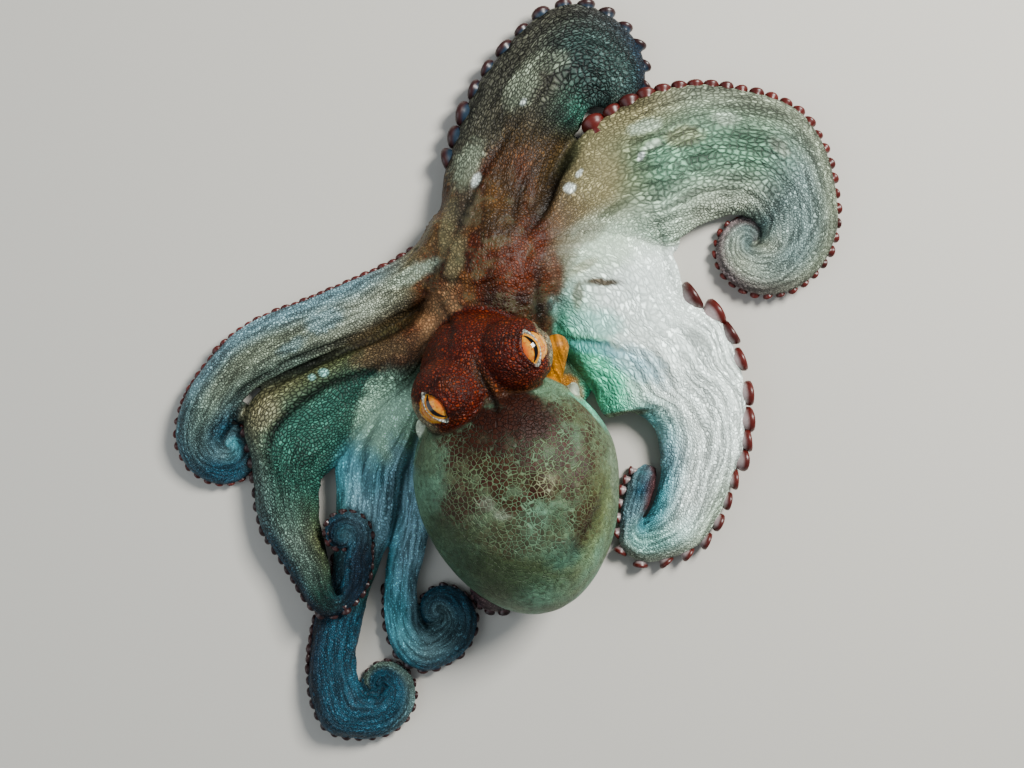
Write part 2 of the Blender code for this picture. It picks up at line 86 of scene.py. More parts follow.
# Stations from the root on: x, y of the outer edge, then of the inner edge, and the height of
# the underside where it isn't 0. "root" is the station where an arm leaves the web; "pressed"
# the one where it starts to flatten, and its last height.
ARMS = {
    "arm_r1": {
        "stations": (
            (-14, 8, 9, 8), (-14, 25, 12, 25.5), (-11, 37, 16, 35), (-5.5, 50.5, 19.5, 39.5),
            (0.5, 58.5, 20.5, 42.5), (9, 67, 22, 44.5), (18, 70.5, 24, 45.5), (27.5, 67.5, 26, 45),
            (34, 60.5, 27, 44), (36, 53, 28, 43), (34.5, 47, 29, 41.5), (32, 42, 29, 40)),
        "root": 2,
        "pressed": (8, 0.45)},
    "arm_r2": {
        "stations": (
            (0, 13, 8, -2), (11, 25.5, 21, 8), (21, 38.5, 31, 11, 1.5), (34, 46.5, 42.5, 12, 3.4),
            (47, 50, 49.5, 16, 1.5), (60.5, 49, 56.5, 18.3), (73, 44.5, 62, 18), (80.5, 34.5, 65, 15.8)),
        "coil": {"centre": (62.2, 12.1), "start": 20, "radius": 22.7, "shrink": 0.632,
                 "turn": -1, "quarters": 5.4, "base": 0},
        "root": 2.4},
    "arm_r3": {
        "stations": (
            (9, 13, 4, -6), (27, 15, 12, -5), (42, 9, 14, -12), (46, -1.5, 18.5, -18.5),
            (54.5, -8, 23, -25), (58.5, -17, 26.5, -31.5), (60.5, -25.5, 33, -30.5),
            (60.5, -33.5, 38.2, -34), (60, -40, 39.8, -40.5), (57.5, -46.5, 39.8, -46),
            (55, -54, 39, -50.5), (50, -62.5, 37.5, -54.5), (42.5, -66.5, 35.8, -57),
            (35, -67.5, 34.9, -58.1), (30, -63.7, 35.1, -56.9), (30, -57, 36.8, -54),
            (31, -50, 38.3, -50.2), (33, -45.8, 39, -46.6), (36, -43.2, 39, -44.4)),
        "root": 3.4},
    "arm_r4": {
        "stations": (
            (11, -6, 2, -8), (17, -22, 8, -22), (17.5, -36, 9.5, -36), (16, -50, 8.5, -50),
            (14, -61, 8, -60.5), (11, -71, 5.5, -68), (6.5, -77.5, 3, -71.5), (1, -80, 0.5, -74),
            (-4, -79.5, -2, -74.5), (-7, -76.5, -4.5, -73.5), (-8, -73, -6, -72.5)),
        "root": 1},
    "arm_l1": {
        "stations": (
            (-10, 20, -2, -1), (-16, 18, -13, 1.5), (-20, 11.5, -17, -2.5), (-25.5, 7, -21.5, -6),
            (-35.5, 2.5, -31, -11.5), (-48.5, -3, -44.5, -17.5), (-60, -7.5, -53.5, -21),
            (-68.5, -13.5, -60, -24.5), (-75.2, -22, -64.6, -29), (-77.8, -26.2, -66.9, -33.9)),
        "coil": {"centre": (-66.7, -38.7), "start": 143, "radius": 15.6, "shrink": 0.7,
                 "turn": 1, "quarters": 4.6, "base": 0},
        "root": 2},
    "arm_l2": {
        "stations": (
            (-6, 0, -6, -14), (-15, -3, -15, -15), (-24.5, -7.8, -21, -24), (-36.5, -13.6, -31, -33),
            (-48.5, -19.2, -37, -40), (-59.6, -25.2, -41.5, -44), (-63.3, -33.6, -44.4, -47),
            (-61.4, -42.5, -45.2, -50.5), (-60, -55.5, -45.2, -56), (-57, -62.5, -43.8, -61.5, 1),
            (-51.5, -70.5, -42.4, -67.5, 3), (-47.5, -76.8, -41.4, -73, 5.5),
            (-43, -80.4, -40.2, -75.2, 7.6), (-38.2, -79.4, -39, -75, 7.6),
            (-34.4, -76, -38.6, -73.2, 7.6), (-32, -71.5, -38, -70, 7.6), (-31.2, -66.5, -38, -66.6, 7.6)),
        "coil": {"centre": (-38.3, -60.4), "start": -22, "radius": 7.6, "shrink": 0.8,
                 "turn": 1, "quarters": 3.4, "base": 7.6},
        "root": 4.9},
    "arm_l3": {
        "stations": (
            (-8, -10, -12, -22), (-18, -17, -20, -32), (-31, -28, -22, -39), (-40, -41.5, -23.6, -45),
            (-40.4, -49.5, -25.6, -54.5), (-40.8, -57, -27.4, -62), (-41.2, -67, -29.8, -67.5),
            (-42.6, -75, -32.4, -75), (-45.6, -81, -34.2, -81), (-46.6, -86.5, -35.2, -86),
            (-47.4, -92.5, -35.8, -92), (-46.8, -101, -34.8, -96.8), (-43, -109.2, -33.2, -99.8)),
        "coil": {"centre": (-29.7, -98.2), "start": 246, "radius": 14.3, "shrink": 0.66,
                 "turn": 1, "quarters": 4.6, "base": 0},
        "root": 2.6},
    "arm_l4": {
        "stations": (
            (-11, -18, -6, -20), (-18.5, -30, -13, -31), (-22.6, -40, -16.5, -40),
            (-24.6, -48.5, -17.2, -50), (-25.8, -57, -17.6, -58.5), (-27.6, -64.5, -18.8, -65.5),
            (-28.5, -72, -20.4, -72), (-28.8, -78.5, -20.6, -78), (-28, -85.5, -20, -81.8),
            (-25, -91.5, -18.8, -83.4), (-19, -94.6, -17.2, -83.8)),
        "coil": {"centre": (-15.4, -80.2), "start": 282, "radius": 12.8, "shrink": 0.7,
                 "turn": 1, "quarters": 4.8, "base": 0},
        "root": 1.9},
}

HEAD_CENTRE = (-4.5, -21.5, 17)
HEAD_AXES = (14.5, 15.5, 16)
EYE_BULGES = {"eye_left": (-11.7, -26.3, 27.5), "eye_right": (3.7, -16.7, 27.5)}
EYE_BULGE_RADIUS = 8.9
EYEBALL_RADIUS = 5
EYEBALL_OUT = {"eye_left": (-2.05, -1.77, 3.47), "eye_right": (2.52, 1, 3.47)}
FUNNEL_START = (11.5, -25.5, 11)
FUNNEL_END = (13.6, -14.6, 18)
FUNNEL_RADIUS = 3.1
COLLAR_LIPS = (((17.6, -25.2, 19.5), (1.5, 2.2, 4)), ((-18.3, -34, 19), (1.7, 2.6, 4)))
MANTLE_CENTRE = (4.8, -49.7, 19.4)
MANTLE_AXES = (24.1, 29, 20)
MANTLE_TILT = 14
MANTLE_TAPER = 0.13
# Low swellings of the mantle as seen from above: x, y, half sizes, turn.
MANTLE_BUMPS = ((24, -40, 5, 9, 10), (22, -50, 4, 7, -10), (11.4, -48.8, 3.2, 3.4, 0))

# --- colours: red, green, blue as displayed, 0 to 255 --------------------------------------
PALETTE = {
    "rust": (96, 38, 10), "deep_red": (92, 24, 6), "maroon": (44, 18, 8), "ember": (190, 84, 26),
    "umber": (62, 46, 24), "brown": (96, 80, 56), "bronze": (108, 74, 36), "tan": (138, 132, 96),
    "sand": (184, 178, 140), "cream": (192, 216, 192), "mint": (156, 222, 212), "white": (236, 252, 246),
    "pale_grey": (170, 182, 162), "beige_grey": (126, 138, 118), "grey": (104, 126, 114),
    "blue_grey": (92, 126, 132), "mist_blue": (122, 164, 176), "slate": (34, 76, 94),
    "deep_blue": (24, 42, 58), "ink": (8, 10, 12), "teal": (52, 100, 86), "deep_teal": (28, 60, 52),
    "pale_teal": (96, 186, 202), "sea_green": (98, 140, 114), "turquoise": (108, 232, 190),
    "pale_green": (138, 180, 150), "olive": (84, 90, 58), "moss": (44, 58, 34),
    "green_grey": (92, 108, 78), "neck": (40, 15, 6), "clay": (172, 128, 88), "dark_sage": (58, 80, 76),
    "grey_brown": (68, 69, 58), "grey_blue": (124, 148, 144), "aqua": (100, 192, 208),
    "pale_mint": (190, 238, 208), "pale_blue": (146, 198, 214), "ochre": (174, 110, 10),
    "gold": (206, 142, 34), "yellow_green": (116, 124, 62), "plum": (92, 62, 64),
    "mauve": (142, 128, 128), "sucker_red": (78, 19, 13), "sucker_dark": (44, 16, 16),
    "lilac": (160, 138, 148), "lid": (196, 208, 196),
}

# Each arm's ground colours at some stations: outer edge, middle, inner edge; and how dark
# the net between its granules is. They are partly the arms' own colours and partly painted
# light: the whitish tones of arm_r2 and arm_r3 are painted lit, the darker, bluer tones of the
# left arms painted shaded, as by light from the upper right.
ARM_PAINT = {
    "arm_r1": (
        (0, "maroon", "maroon", "rust", 0.7), (1, "umber", "rust", "umber", 0.7),
        (2, "grey_brown", "umber", "umber", 0.7), (3, "grey_brown", "grey_brown", "deep_teal", 0.75),
        (4.2, "grey_brown", "grey_brown", "teal", 0.85),
        (5.5, "grey_brown", "dark_sage", "dark_sage", 0.88),
        (8, "deep_blue", "dark_sage", "dark_sage", 0.88), (11, "deep_blue", "slate", "slate", 0.75)),
    "arm_r2": (
        (0, "maroon", "rust", "sand", 0.6), (1, "umber", "brown", "cream", 0.5),
        (2, "tan", "tan", "cream", 0.45), (3, "tan", "sea_green", "cream", 0.55),
        (4, "beige_grey", "sea_green", "pale_grey", 0.65),
        (5.5, "beige_grey", "sea_green", "pale_grey", 0.7),
        (7, "beige_grey", "grey_blue", "grey_blue", 0.65),
        (10, "beige_grey", "grey_blue", "pale_grey", 0.5), (14, "mauve", "pale_grey", "grey_blue", 0.5),
        (20, "mauve", "grey_blue", "grey_blue", 0.5), (29, "plum", "mauve", "mauve", 0.4)),
    "arm_r3": (
        (0, "rust", "maroon", "umber", 0.6), (1, "cream", "cream", "mint", 0.3),
        (2, "white", "white", "turquoise", 0.3), (3, "white", "white", "turquoise", 0.3),
        (4.5, "white", "white", "turquoise", 0.25), (6, "white", "white", "mint", 0.25),
        (8, "white", "white", "pale_blue", 0.3), (10, "cream", "white", "aqua", 0.4),
        (12, "pale_grey", "mint", "aqua", 0.5), (13.5, "pale_grey", "mint", "aqua", 0.5),
        (15, "mist_blue", "mist_blue", "plum", 0.5), (16, "blue_grey", "slate", "plum", 0.4),
        (18, "plum", "plum", "plum", 0.3)),
    "arm_r4": (
        (0, "umber", "umber", "umber", 0.5), (3, "grey", "grey", "grey", 0.5),
        (9, "plum", "plum", "plum", 0.3)),
    # The left arms: their dark, bluish tones are partly painted shade.
    "arm_l1": (
        (0, "umber", "rust", "maroon", 0.7), (1, "tan", "brown", "umber", 0.7),
        (2.5, "tan", "tan", "umber", 0.7), (4, "mist_blue", "pale_grey", "brown", 0.65),
        (5.5, "mist_blue", "beige_grey", "grey", 0.7), (7, "mist_blue", "beige_grey", "grey", 0.65),
        (9, "blue_grey", "grey", "slate", 0.65), (14, "slate", "slate", "blue_grey", 0.6),
        (20, "slate", "slate", "aqua", 0.5), (28, "blue_grey", "blue_grey", "pale_teal", 0.5)),
    "arm_l2": (
        (0, "maroon", "rust", "umber", 0.6), (1.5, "umber", "rust", "umber", 0.7),
        (2.5, "olive", "deep_teal", "sea_green", 0.75), (4, "olive", "teal", "teal", 0.8),
        (5.5, "tan", "teal", "teal", 0.8), (7, "grey", "teal", "teal", 0.8),
        (9, "slate", "grey", "olive", 0.75), (11, "deep_blue", "deep_teal", "deep_teal", 0.7),
        (14, "deep_blue", "deep_blue", "slate", 0.6), (30, "slate", "deep_blue", "slate", 0.6)),
    # arm_l3's pale_mint near its root is partly painted light, brightened to outweigh the shade in its
    # crease beside the mantle.
    "arm_l3": (
        (0, "rust", "umber", "olive", 0.6), (1, "teal", "pale_mint", "pale_mint", 0.3),
        (2, "sea_green", "pale_mint", "pale_green", 0.3), (3, "aqua", "pale_blue", "mist_blue", 0.3),
        (5, "teal", "pale_blue", "pale_blue", 0.35), (6.5, "slate", "blue_grey", "teal", 0.5),
        (8, "deep_blue", "slate", "slate", 0.5), (10, "deep_blue", "slate", "slate", 0.5),
        (14, "slate", "slate", "slate", 0.5), (20, "grey", "slate", "slate", 0.5),
        (30, "grey", "slate", "slate", 0.4)),
    "arm_l4": (
        (0, "umber", "umber", "umber", 0.4), (2, "pale_blue", "mint", "pale_blue", 0.1),
        (3, "pale_blue", "pale_blue", "pale_blue", 0.1), (5, "aqua", "pale_blue", "pale_blue", 0.2),
        (7, "aqua", "aqua", "mist_blue", 0.3), (10, "slate", "blue_grey", "blue_grey", 0.4),
        (16, "slate", "slate", "blue_grey", 0.4), (28, "slate", "blue_grey", "mist_blue", 0.35)),
}

# Coarse granules: first and last station, middle across and how far from there.
COARSE = {"arm_r2": (2.6, 6, -0.1, 0.5), "arm_r3": (1, 4, -0.2, 0.7), "arm_r1": (4.5, 9, -0.45, 0.5)}

# Marks as seen from above: x, y, half sizes along and across, turn in degrees, colour, strength.
MARKS = (
    (1.2, 0, 8, 6, 90, "maroon", 0.85), (5, 10, 8, 7, 70, "rust", 0.5), (0, 20, 7, 9, 0, "umber", 0.75),
    (-25, -13.8, 10, 4.5, 20, "rust", 0.5), (-30, -15.5, 7, 3.5, 20, "brown", 0.7),
    (-12, -4, 9, 5, 40, "rust", 0.7), (-22, 4, 7, 2, 28, "cream", 0.6),
    (-15, -7, 5, 8, -20, "clay", 0.85), (-19, -13, 9, 3, 25, "brown", 0.5),
    (-11, 8, 2, 7, -10, "tan", 0.6), (-8, 0, 1.6, 5, 15, "bronze", 0.6),
    (-13, 17, 1.8, 7, -12, "tan", 0.6), (-9, 21, 3, 6, -20, "grey_brown", 0.7),
    (1, 30, 3, 8, -15, "umber", 0.6), (-3, 39, 3, 6, -25, "grey_brown", 0.6),
    (-1, 23, 2.5, 4, 0, "bronze", 0.5), (4, 3.5, 5, 5, 0, "rust", 0.85),
    (2, -3.5, 7, 2.6, 0, "maroon", 0.9), (10.5, 1, 2, 6, 5, "maroon", 0.7),
    (-8, 31.2, 3, 6, -25, "beige_grey", 0.85), (5.6, 51.2, 3, 6.5, -30, "beige_grey", 0.75),
    (12.5, 57.5, 4.5, 3, 10, "beige_grey", 0.5), (-6, 27.5, 0.9, 1.7, -30, "white", 1),
    (5.8, 47, 0.6, 1, -30, "white", 0.9), (17.5, 25.5, 1.3, 1.2, 0, "white", 1),
    (19.8, 29.2, 0.6, 1.1, -35, "white", 0.9), (36.2, 40.8, 4, 1.6, 15, "cream", 0.6),
    (56.2, 43, 3.4, 1.6, -5, "cream", 0.6), (35.2, 33.5, 0.7, 1.2, -30, "white", 0.9),
    (38, 36.2, 2.2, 0.9, 30, "cream", 0.8), (46, 38.5, 5, 2.4, 5, "tan", 0.5),
    (70, 36, 3, 1.6, -50, "pale_grey", 0.5), (25, 28.8, 7, 4.5, 40, "tan", 0.6),
    (27, 10.5, 6, 5, 0, "cream", 0.7), (35, -2.5, 8, 6.5, -30, "white", 0.8),
    (24, -8.5, 7, 4, 0, "mint", 0.7), (25.5, 2, 4.8, 1, 0, "umber", 0.95),
    (19.5, -1.5, 1.4, 3.2, 0, "brown", 0.7), (15, 8, 3.5, 8, -15, "brown", 0.5),
    (13.5, 3, 2.5, 5, 0, "rust", 0.7), (22, 14, 5, 2, 30, "brown", 0.5),
    (21, 6, 3.6, 1.2, 30, "tan", 0.5), (28.5, 20.3, 4.2, 1.2, 32, "moss", 0.6),
    (11.2, 23.8, 2, 6, -35, "umber", 0.8), (17.5, 33, 1.6, 5, -35, "moss", 0.6),
    (-44, -20.8, 1.1, 1, 0, "mint", 1), (-47, -21.8, 0.8, 0.7, 0, "mint", 0.8),
    # The pale_mint mark at -28.8, -33 is partly the arm's own pale colour and partly painted light,
    # brightened to outweigh the shade in the crease beside the mantle.
    (-35, -12.2, 3.5, 1.5, 25, "brown", 0.5), (-28.8, -33, 6.5, 10.5, -15, "pale_mint", 1),
    (-21, -24, 4, 4, 0, "moss", 0.4), (25.5, -21.5, 5, 8.5, 25, "turquoise", 0.95),
    (24, -14.6, 8, 1.6, -10, "pale_teal", 0.6), (33, -19, 9, 2.6, -30, "pale_blue", 0.6),
    (36, -38, 3, 9, -8, "pale_teal", 0.5), (-24.5, -47, 3.2, 10, 8, "pale_blue", 0.7),
    # The olive mark at 18.5, -21 is painted shade in the recess between the head and arm_r3.
    (-33, -45, 4, 7, 15, "pale_teal", 0.5), (18.5, -21, 3, 5.5, 15, "olive", 0.7),
    (-20, -34.2, 1.6, 2, 0, "sand", 0.8), (36, -17.5, 7, 2.4, -35, "pale_blue", 0.55),
    (31.2, -31, 6.5, 0.8, 8, "tan", 0.8), (-43.8, -7.5, 5, 2.6, 28, "mist_blue", 0.6),
    (-52, -14, 4, 1.5, 28, "mist_blue", 0.4), (15.5, -23, 4.5, 1.8, -8, "ochre", 0.8),
    (19.4, -25.2, 1.3, 2.2, 25, "sand", 0.9), (17.5, -24, 1.6, 1.6, 0, "ochre", 0.6),
    (-58, -31, 4, 3, 60, "sand", 0.4),
)
# The same on the mantle, over its own ground.
MANTLE_MARKS = (
    (-18, -46, 4.5, 14, 0, "sea_green", 0.8), (-12, -62, 6, 9, 40, "moss", 0.7),
    (0, -71, 16, 6.5, 0, "moss", 0.75), (-19, -40, 4, 7, 0, "green_grey", 0.6),
    (24, -40, 5, 9, 10, "green_grey", 0.7), (22, -50, 4, 7, -10, "olive", 0.6),
    (11.4, -48.8, 3.2, 3.4, 0, "sand", 0.6), (-3.5, -53.5, 2.2, 1.8, 0, "pale_grey", 0.55),
    (0.8, -56.2, 2.4, 1.6, -20, "pale_grey", 0.5), (14.2, -57, 2.2, 3, 0, "moss", 0.6),
    (23.8, -57, 3, 11, -14, "yellow_green", 0.5), (20.5, -60, 1.8, 8.5, -24, "umber", 0.75),
    (28.2, -44, 1.5, 9, 6, "beige_grey", 0.4), (16, -66, 5, 4, 40, "teal", 0.6),
    (8, -64, 6, 3, 0, "sea_green", 0.5), (-14, -36, 2.5, 4, 30, "neck", 0.6),
    (19, -31, 5, 2.6, -35, "olive", 0.7),
)
# Where the mantle's net is strong, with brown cells.
BROWN_NET = (
    (-4, -40, 11, 10, 0, 1), (14, -40, 10.5, 12, -20, 1), (5, -49, 10, 8, 0, 0.8),
    (-9, -53, 6, 7, 20, 0.75), (20, -54, 5, 9, 0, 0.7), (6, -61, 12, 6, 0, 0.6),
)

# The dark skin that runs from the head onto the mantle.
NECK = (
    (0, -32.5, 12.5, 3.5, -8, 1), (4.5, -28, 9, 3.5, -20, 1), (-3, -37, 6.5, 4.5, 0, 0.85),
    (9, -33.5, 5.5, 3, 30, 0.9), (5, -38.5, 3, 5.5, 10, 0.6), (-9, -38.5, 2.5, 4, 10, 0.5),
    (0.5, -42, 2, 4.5, 0, 0.4),
)

# Grooves seen from above: route, half width and depth. Each sinks the skin and is darkened with painted
# shade.
GROOVES = (
    (((-27, -17.5), (-34, -20.8), (-42.5, -23.2), (-46.3, -25.5), (-50, -28), (-53.2, -30.8),
      (-56, -34.2), (-57.8, -38.5), (-58.4, -43)), 0.9, 1.2),
    (((-40, -15), (-46, -17.6), (-54, -21), (-61, -25.5), (-66.5, -31.5), (-69, -37.5)), 0.55, 0.6),
    (((-38, -13), (-48, -16), (-57, -20), (-65, -25.5), (-70.5, -31.5), (-72.5, -38)), 0.45, 0.4),
    (((-30, -9.5), (-42, -13.5), (-54, -18.6), (-62, -23.6), (-68, -29.5)), 0.4, 0.3),
    (((-21, -7), (-28, -11), (-37, -14.6), (-47, -18.8), (-55, -22.8), (-61.5, -28)), 0.8, 0.9),
    (((-6.5, -17), (-4.6, -22), (-1.6, -28), (-1, -31)), 0.9, 1),
    (((6.5, 14), (11, 20), (13.5, 27), (17.5, 34)), 1.2, 1.2),
    (((-12, 12), (-8, 22), (-2, 33), (6, 44)), 0.9, 0.5),
    (((3, 15), (5, 24), (10, 33)), 0.9, 0.5),
    (((15, -11.8), (18.5, -12.6), (23, -13.2), (29, -14.4), (35, -16.2)), 0.8, 0.4),
    (((26.5, -48), (23.5, -57), (18, -66)), 1.4, 0.5),
    (((37, 21), (40.5, 13), (43, 3), (47, -5)), 0.8, 0.3),
    (((-34, -52), (-33.5, -40), (-29, -30)), 1, 0.5),
    (((-16, -2), (-12.5, -9), (-13.5, -16)), 0.9, 0.5),
    (((9.5, 0), (10, -6), (10.5, -11)), 1, 0.7),
)
GROOVE_STEPS = 60
GROOVE_REACH = 4               # millimetres beyond which a groove no longer counts
HOLLOW_SHADE = 1.7             # painted shade: how much darker a hollow is for each millimetre of its depth
GROOVE_SHADE = 1.5             # painted shade: how much darker the skin is at the bottom of a groove

# --- skin detail ----------------------------------------------------------------------------
GRANULE = (0.2, 0.016)         # a granule's width: at a tip, and more for each mm of arm width
GRANULE_STRETCH = 1.9
GRANULE_WIDEST = 26            # arm width beyond which granules grow no more
GRANULE_DRIFT = (0.10, 0.14, 31, 2.2)     # noise along and across, its seed, how far they drift
ARM_MARGIN = 7                 # how far from an arm the skin still measures its place on it
ARM_BLEND = (0.8, 30)          # how softly neighbouring arms' skins mix, and the most it counts
# Noise over the skin: the width of its clouds in millimetres, its seed and, for patches, the
# values between which they rise from 0 to 1.
CLOUDS = {
    "rust": (5, 3, -0.5, 0.5), "rust_bronze": (2.4, 61, 0.05, 0.5), "rust_moss": (2, 62, 0.15, 0.5),
    "head": (4, 13, -0.2, 0.7), "mantle": (9, 9, -0.5, 0.5), "cell": (2.2, 17, -0.3, 0.4),
    "cell_patches": (3, 27, -0.6, 0), "eye_patches": (2.5, 19), "wander_x": (2.6, 51),
    "wander_y": (2.6, 52), "lumps": (2.4, 21), "web": (7, 25),
}
CROWN_PATCHES = (0.85, 0.9)    # how much rust on the crown at least, and how much the noise adds
RUST_BRIGHT = 0.75
# Over the crown's rust: noise, colour, its brightness and strength.
RUST_LAYERS = (("rust_bronze", "bronze", 1, 0.75), ("rust_moss", "moss", 0.8, 0.75))
SPECKLE = (0.8, 53, 2)         # width, seed and octaves of the finest marks
RAGGED = (1.6, 0.45, 1.6)      # how far marks stray: in mm, of their half size; how much they break
# How far each region reaches, and how much further in it is full. The first four are shares of
# an ellipsoid's size, the next three millimetres, the rest shares of the form they name.
LIMITS = {
    "mantle": (1.06, 0.03), "head": (1.12, 0.1), "lip": (1.25, 0.2), "crown": (1.5, 0.55),
    "bulge": (EYE_BULGE_RADIUS + 0.9, 0.8), "funnel": (FUNNEL_RADIUS + 0.7, 0.5), "web": (6, 4),
    "eye_surround": (1.25, 0.12), "eyeball": (1, 0.08), "lid": (1.36, 0.12), "opening": (1.06, 0.16),
    "bare": (1.45, 0.12), "mark": (1.45, 0.9), "papilla": (0.45, 0.35), "pupil": (1.2, 0.25),
}
WEB_ROOTS = (-6, 2)            # an arm is soft up to 2 mm before its root, not at all 6 mm past it
HEAD_SOFT = 0.35               # how soft the head is beside the web
HEAD_LEVELS = (9, 14)          # the head's colours begin between these heights
MANTLE_ROOT = (0.93, 1.08)     # the mantle's begin between these depths in the head
CROWN_PAINT = ((-3, 2, 12), (15, 21, 22))
EDGE_FADE = (0.1, 0.9)         # from an arm's middle colour to that of an edge
# Heights of the relief in millimetres.
LUMPS, WEB_LUMPS, RIDGES, PAPILLAE, FOLDS, BUMPS = 0.10, 0.25, 0.13, 0.35, 0.42, 0.7
PAPILLA_SPACING = 1.9
PAPILLA_SEED = 44
PAPILLA_GAPS = 0.55            # the share of places with none
HEAD_ROUGH = 0.6               # the head's share of the papillae
INNER_HALF = (-0.35, 0.5)      # across an arm, where its folds begin
BARE_SMOOTH = 0.9              # how much of the relief bare skin loses
FLANK = (0.8, 2)               # the relief begins between these heights
LOWEST = 0.1                   # the skin's height off the floor
# Lines along an arm: shares of the granule count along and across, seed, sharpness.
RIDGE_LINES = ((0.16, 0.5), 60, 2)
FOLD_LINES = ((0.035, 0.34), 80, 2.2)
# Strength and rounds of smoothing: of the raw skin, of its web, of all, and to find hollows.
SMOOTHING = ((0.5, 4), (0.6, 40), (0.5, 3), (0.6, 30))
CROWN_NET = 0.6                # how dark the net is on the crown and on the head
HEAD_NET = 0.75
PALE_NET = (0, 0.45, 0.4)      # the noise where the crown's net turns pale, and how much
# Paint round an eye; distances are from the bulge's middle, in its radii.
BRONZE = (0.6, 0.6)            # the least of it, and how much the noise adds
BRONZE_FROM = (0.8, 1.05)
BRONZE_FRONT = (-0.2, 0.7)     # from behind the bulge's middle to its front
PALE_FLECKS = (0.55, 0.7)      # the least of them, and how much the speckle adds
PALE_FROM = (0.7, 0.84)
EYE_RING = (0.5, 0.1, 0.8)     # distance, width and strength of the dark ring
RING_SIDE = (-1, 0.2)          # it fades towards the other eye
# Paint of the mantle.
MOSS_SPECKLE = (0.05, 0.6, 0.55, 0.6)    # from, to, strength, and less where it is brown
CELL_PATCHES = (0.4, 0.6)      # the least of the brown cells, and how much the noise adds
CELL_GAIN = 1.3                # how soon brown skin is full of brown cells
CELL_GROUND = 0.85             # brightness of the other cells
BROWN_LINES = 0.5              # how much the net between brown cells differs
# How much less an arm's granules glint on the mantle, the head and the crown.
DULL = (1.2, 0.9, 1)
FOLDED = ("arm_l1", "arm_l2", "arm_l3")    # arms with long folds on their inner half
OPENING = (4.2, 1.75)          # half sizes of the lids' opening, level and up
OPENING_RISE = 1.9
OPENING_BEND = 0.03
OPENING_DEPTH = 1.6
LOWER_LID = 0.4
LID_FOLDS = ((0.30, 1.25, 0.2), (-0.25, 2.0, 0.22), (-0.20, 2.9, 0.25))    # height, where, width
EYE_ROUGHNESS = 0.08
IRIS_STREAKS = (2.5, 8)        # their noise for each millimetre, and its seed
IRIS_TONES = (-0.7, 0.3)       # of its streaks: from ember to gold
IRIS_EDGE = (0.9, 2.4)         # above the pupil, where the iris turns to ember: painted shade under the upper lid
PUPIL = (3.3, 0.5)             # half sizes of the pupil
PUPIL_RISE = 0.85              # above the opening's lower edge

# --- camera ---------------------------------------------------------------------------------
CAMERA_HEIGHT = 0.42
CAMERA_FOOT = (3, -23.5)       # below the camera, in the same millimetres as the animal
LENS = 59.06


# --- noise ----------------------------------------------------------------------------------
def scatter(lattice, seed):
    """A repeatable random number from 0 to 1 for each row of whole numbers."""
    mixed = np.full(len(lattice), (seed * 2654435761 + 12345) % 2**32, np.uint64)
    for column in lattice.astype(np.int64).T:
        mixed ^= (column & 0xFFFFFFFF).astype(np.uint64) * np.uint64(0x9E3779B1)
        mixed = (mixed ^ (mixed >> np.uint64(15))) * np.uint64(0x2C1B3C6D) & np.uint64(0xFFFFFFFF)
        mixed = (mixed ^ (mixed >> np.uint64(12))) * np.uint64(0x297A2D39) & np.uint64(0xFFFFFFFF)
        mixed ^= mixed >> np.uint64(15)
    return mixed.astype(np.float64) / 2**32


def noise(points, seed):
    """Smooth noise, about -1 to 1."""
    cell = np.floor(points)
    part = points - cell
    part = part * part * (3 - 2 * part)
    total = np.zeros(len(points))
    for corner in product((0, 1), repeat=points.shape[1]):
        weight = np.prod(np.where(corner, part, 1 - part), axis=1)
        total += weight * scatter(cell + corner, seed)
    return 2 * total - 1


def clouds(points, seed, octaves=3):
    total, size = 0, 1.0
    for octave in range(octaves):
        total = total + size * noise(points * 2**octave, seed + octave)
        size *= 0.5
    return total / (2 - 2 * size)


def cells(points, seed, jitter=0.85):
    """Distance to the nearest cell's middle, and that cell's random number."""
    home = np.floor(points)
    near = np.full(len(points), FAR)
    own = np.zeros(len(points))
    for step in product((-1, 0, 1), repeat=points.shape[1]):
        cell = home + step
        middle = np.column_stack([0.5 + jitter * (scatter(cell, seed + 11 * k) - 0.5)
                                  for k in range(points.shape[1])]) + cell
        gap = np.linalg.norm(points - middle, axis=1)
        closer = gap < near
        own = np.where(closer, scatter(cell, seed + 77), own)
        near = np.where(closer, gap, near)
    return near, own


def ramp(value, low, high):
    """A smooth rise from 0 at low to 1 at high."""
    share = np.clip((value - low) / (high - low), 0, 1)
    return share * share * (3 - 2 * share)


def cloud(verts, name):
    """Named noise over the skin."""
    width, seed, *limits = CLOUDS[name]
    values = clouds(verts / width, seed)
    return ramp(values, *limits) if limits else values


def within(value, name):
    """0 beyond a named limit, rising to 1 inside it."""
    limit, fade = LIMITS[name]
    return ramp(limit - value, 0, fade)


def mix(first, second, share):
    return first * (1 - share) + second * share


def tint(first, second, share):
    """Mixes colours by a share for each vertex."""
    return mix(first, second, np.asarray(share)[:, None])


def colour(name, bright=1):
    """A palette colour in linear light, by the display standard's curve."""
    value = np.array(PALETTE[name]) / 255
    return bright * np.where(value < 0.04045, value / 12.92, ((value + 0.055) / 1.055) ** 2.4)


# --- arms -----------------------------------------------------------------------------------
def coil_stations(coil):
    """Stations of a spiral whose turns lie against each other."""
    per_turn = coil["shrink"] ** 4
    for step in range(int((coil["quarters"] + COIL_RUN_ON) * COIL_STEPS) + 1):
        quarter = step / COIL_STEPS
        outer = coil["radius"] * coil["shrink"] ** quarter
        inner = max(min(outer * per_turn - COIL_LAP, outer - 1), COIL_EYE * outer)
        angle = radians(coil["start"] + coil["turn"] * 90 * quarter)
        x, y = coil["centre"]
        yield (x + outer * cos(angle), y + outer * sin(angle),
               x + inner * cos(angle), y + inner * sin(angle), coil["base"])


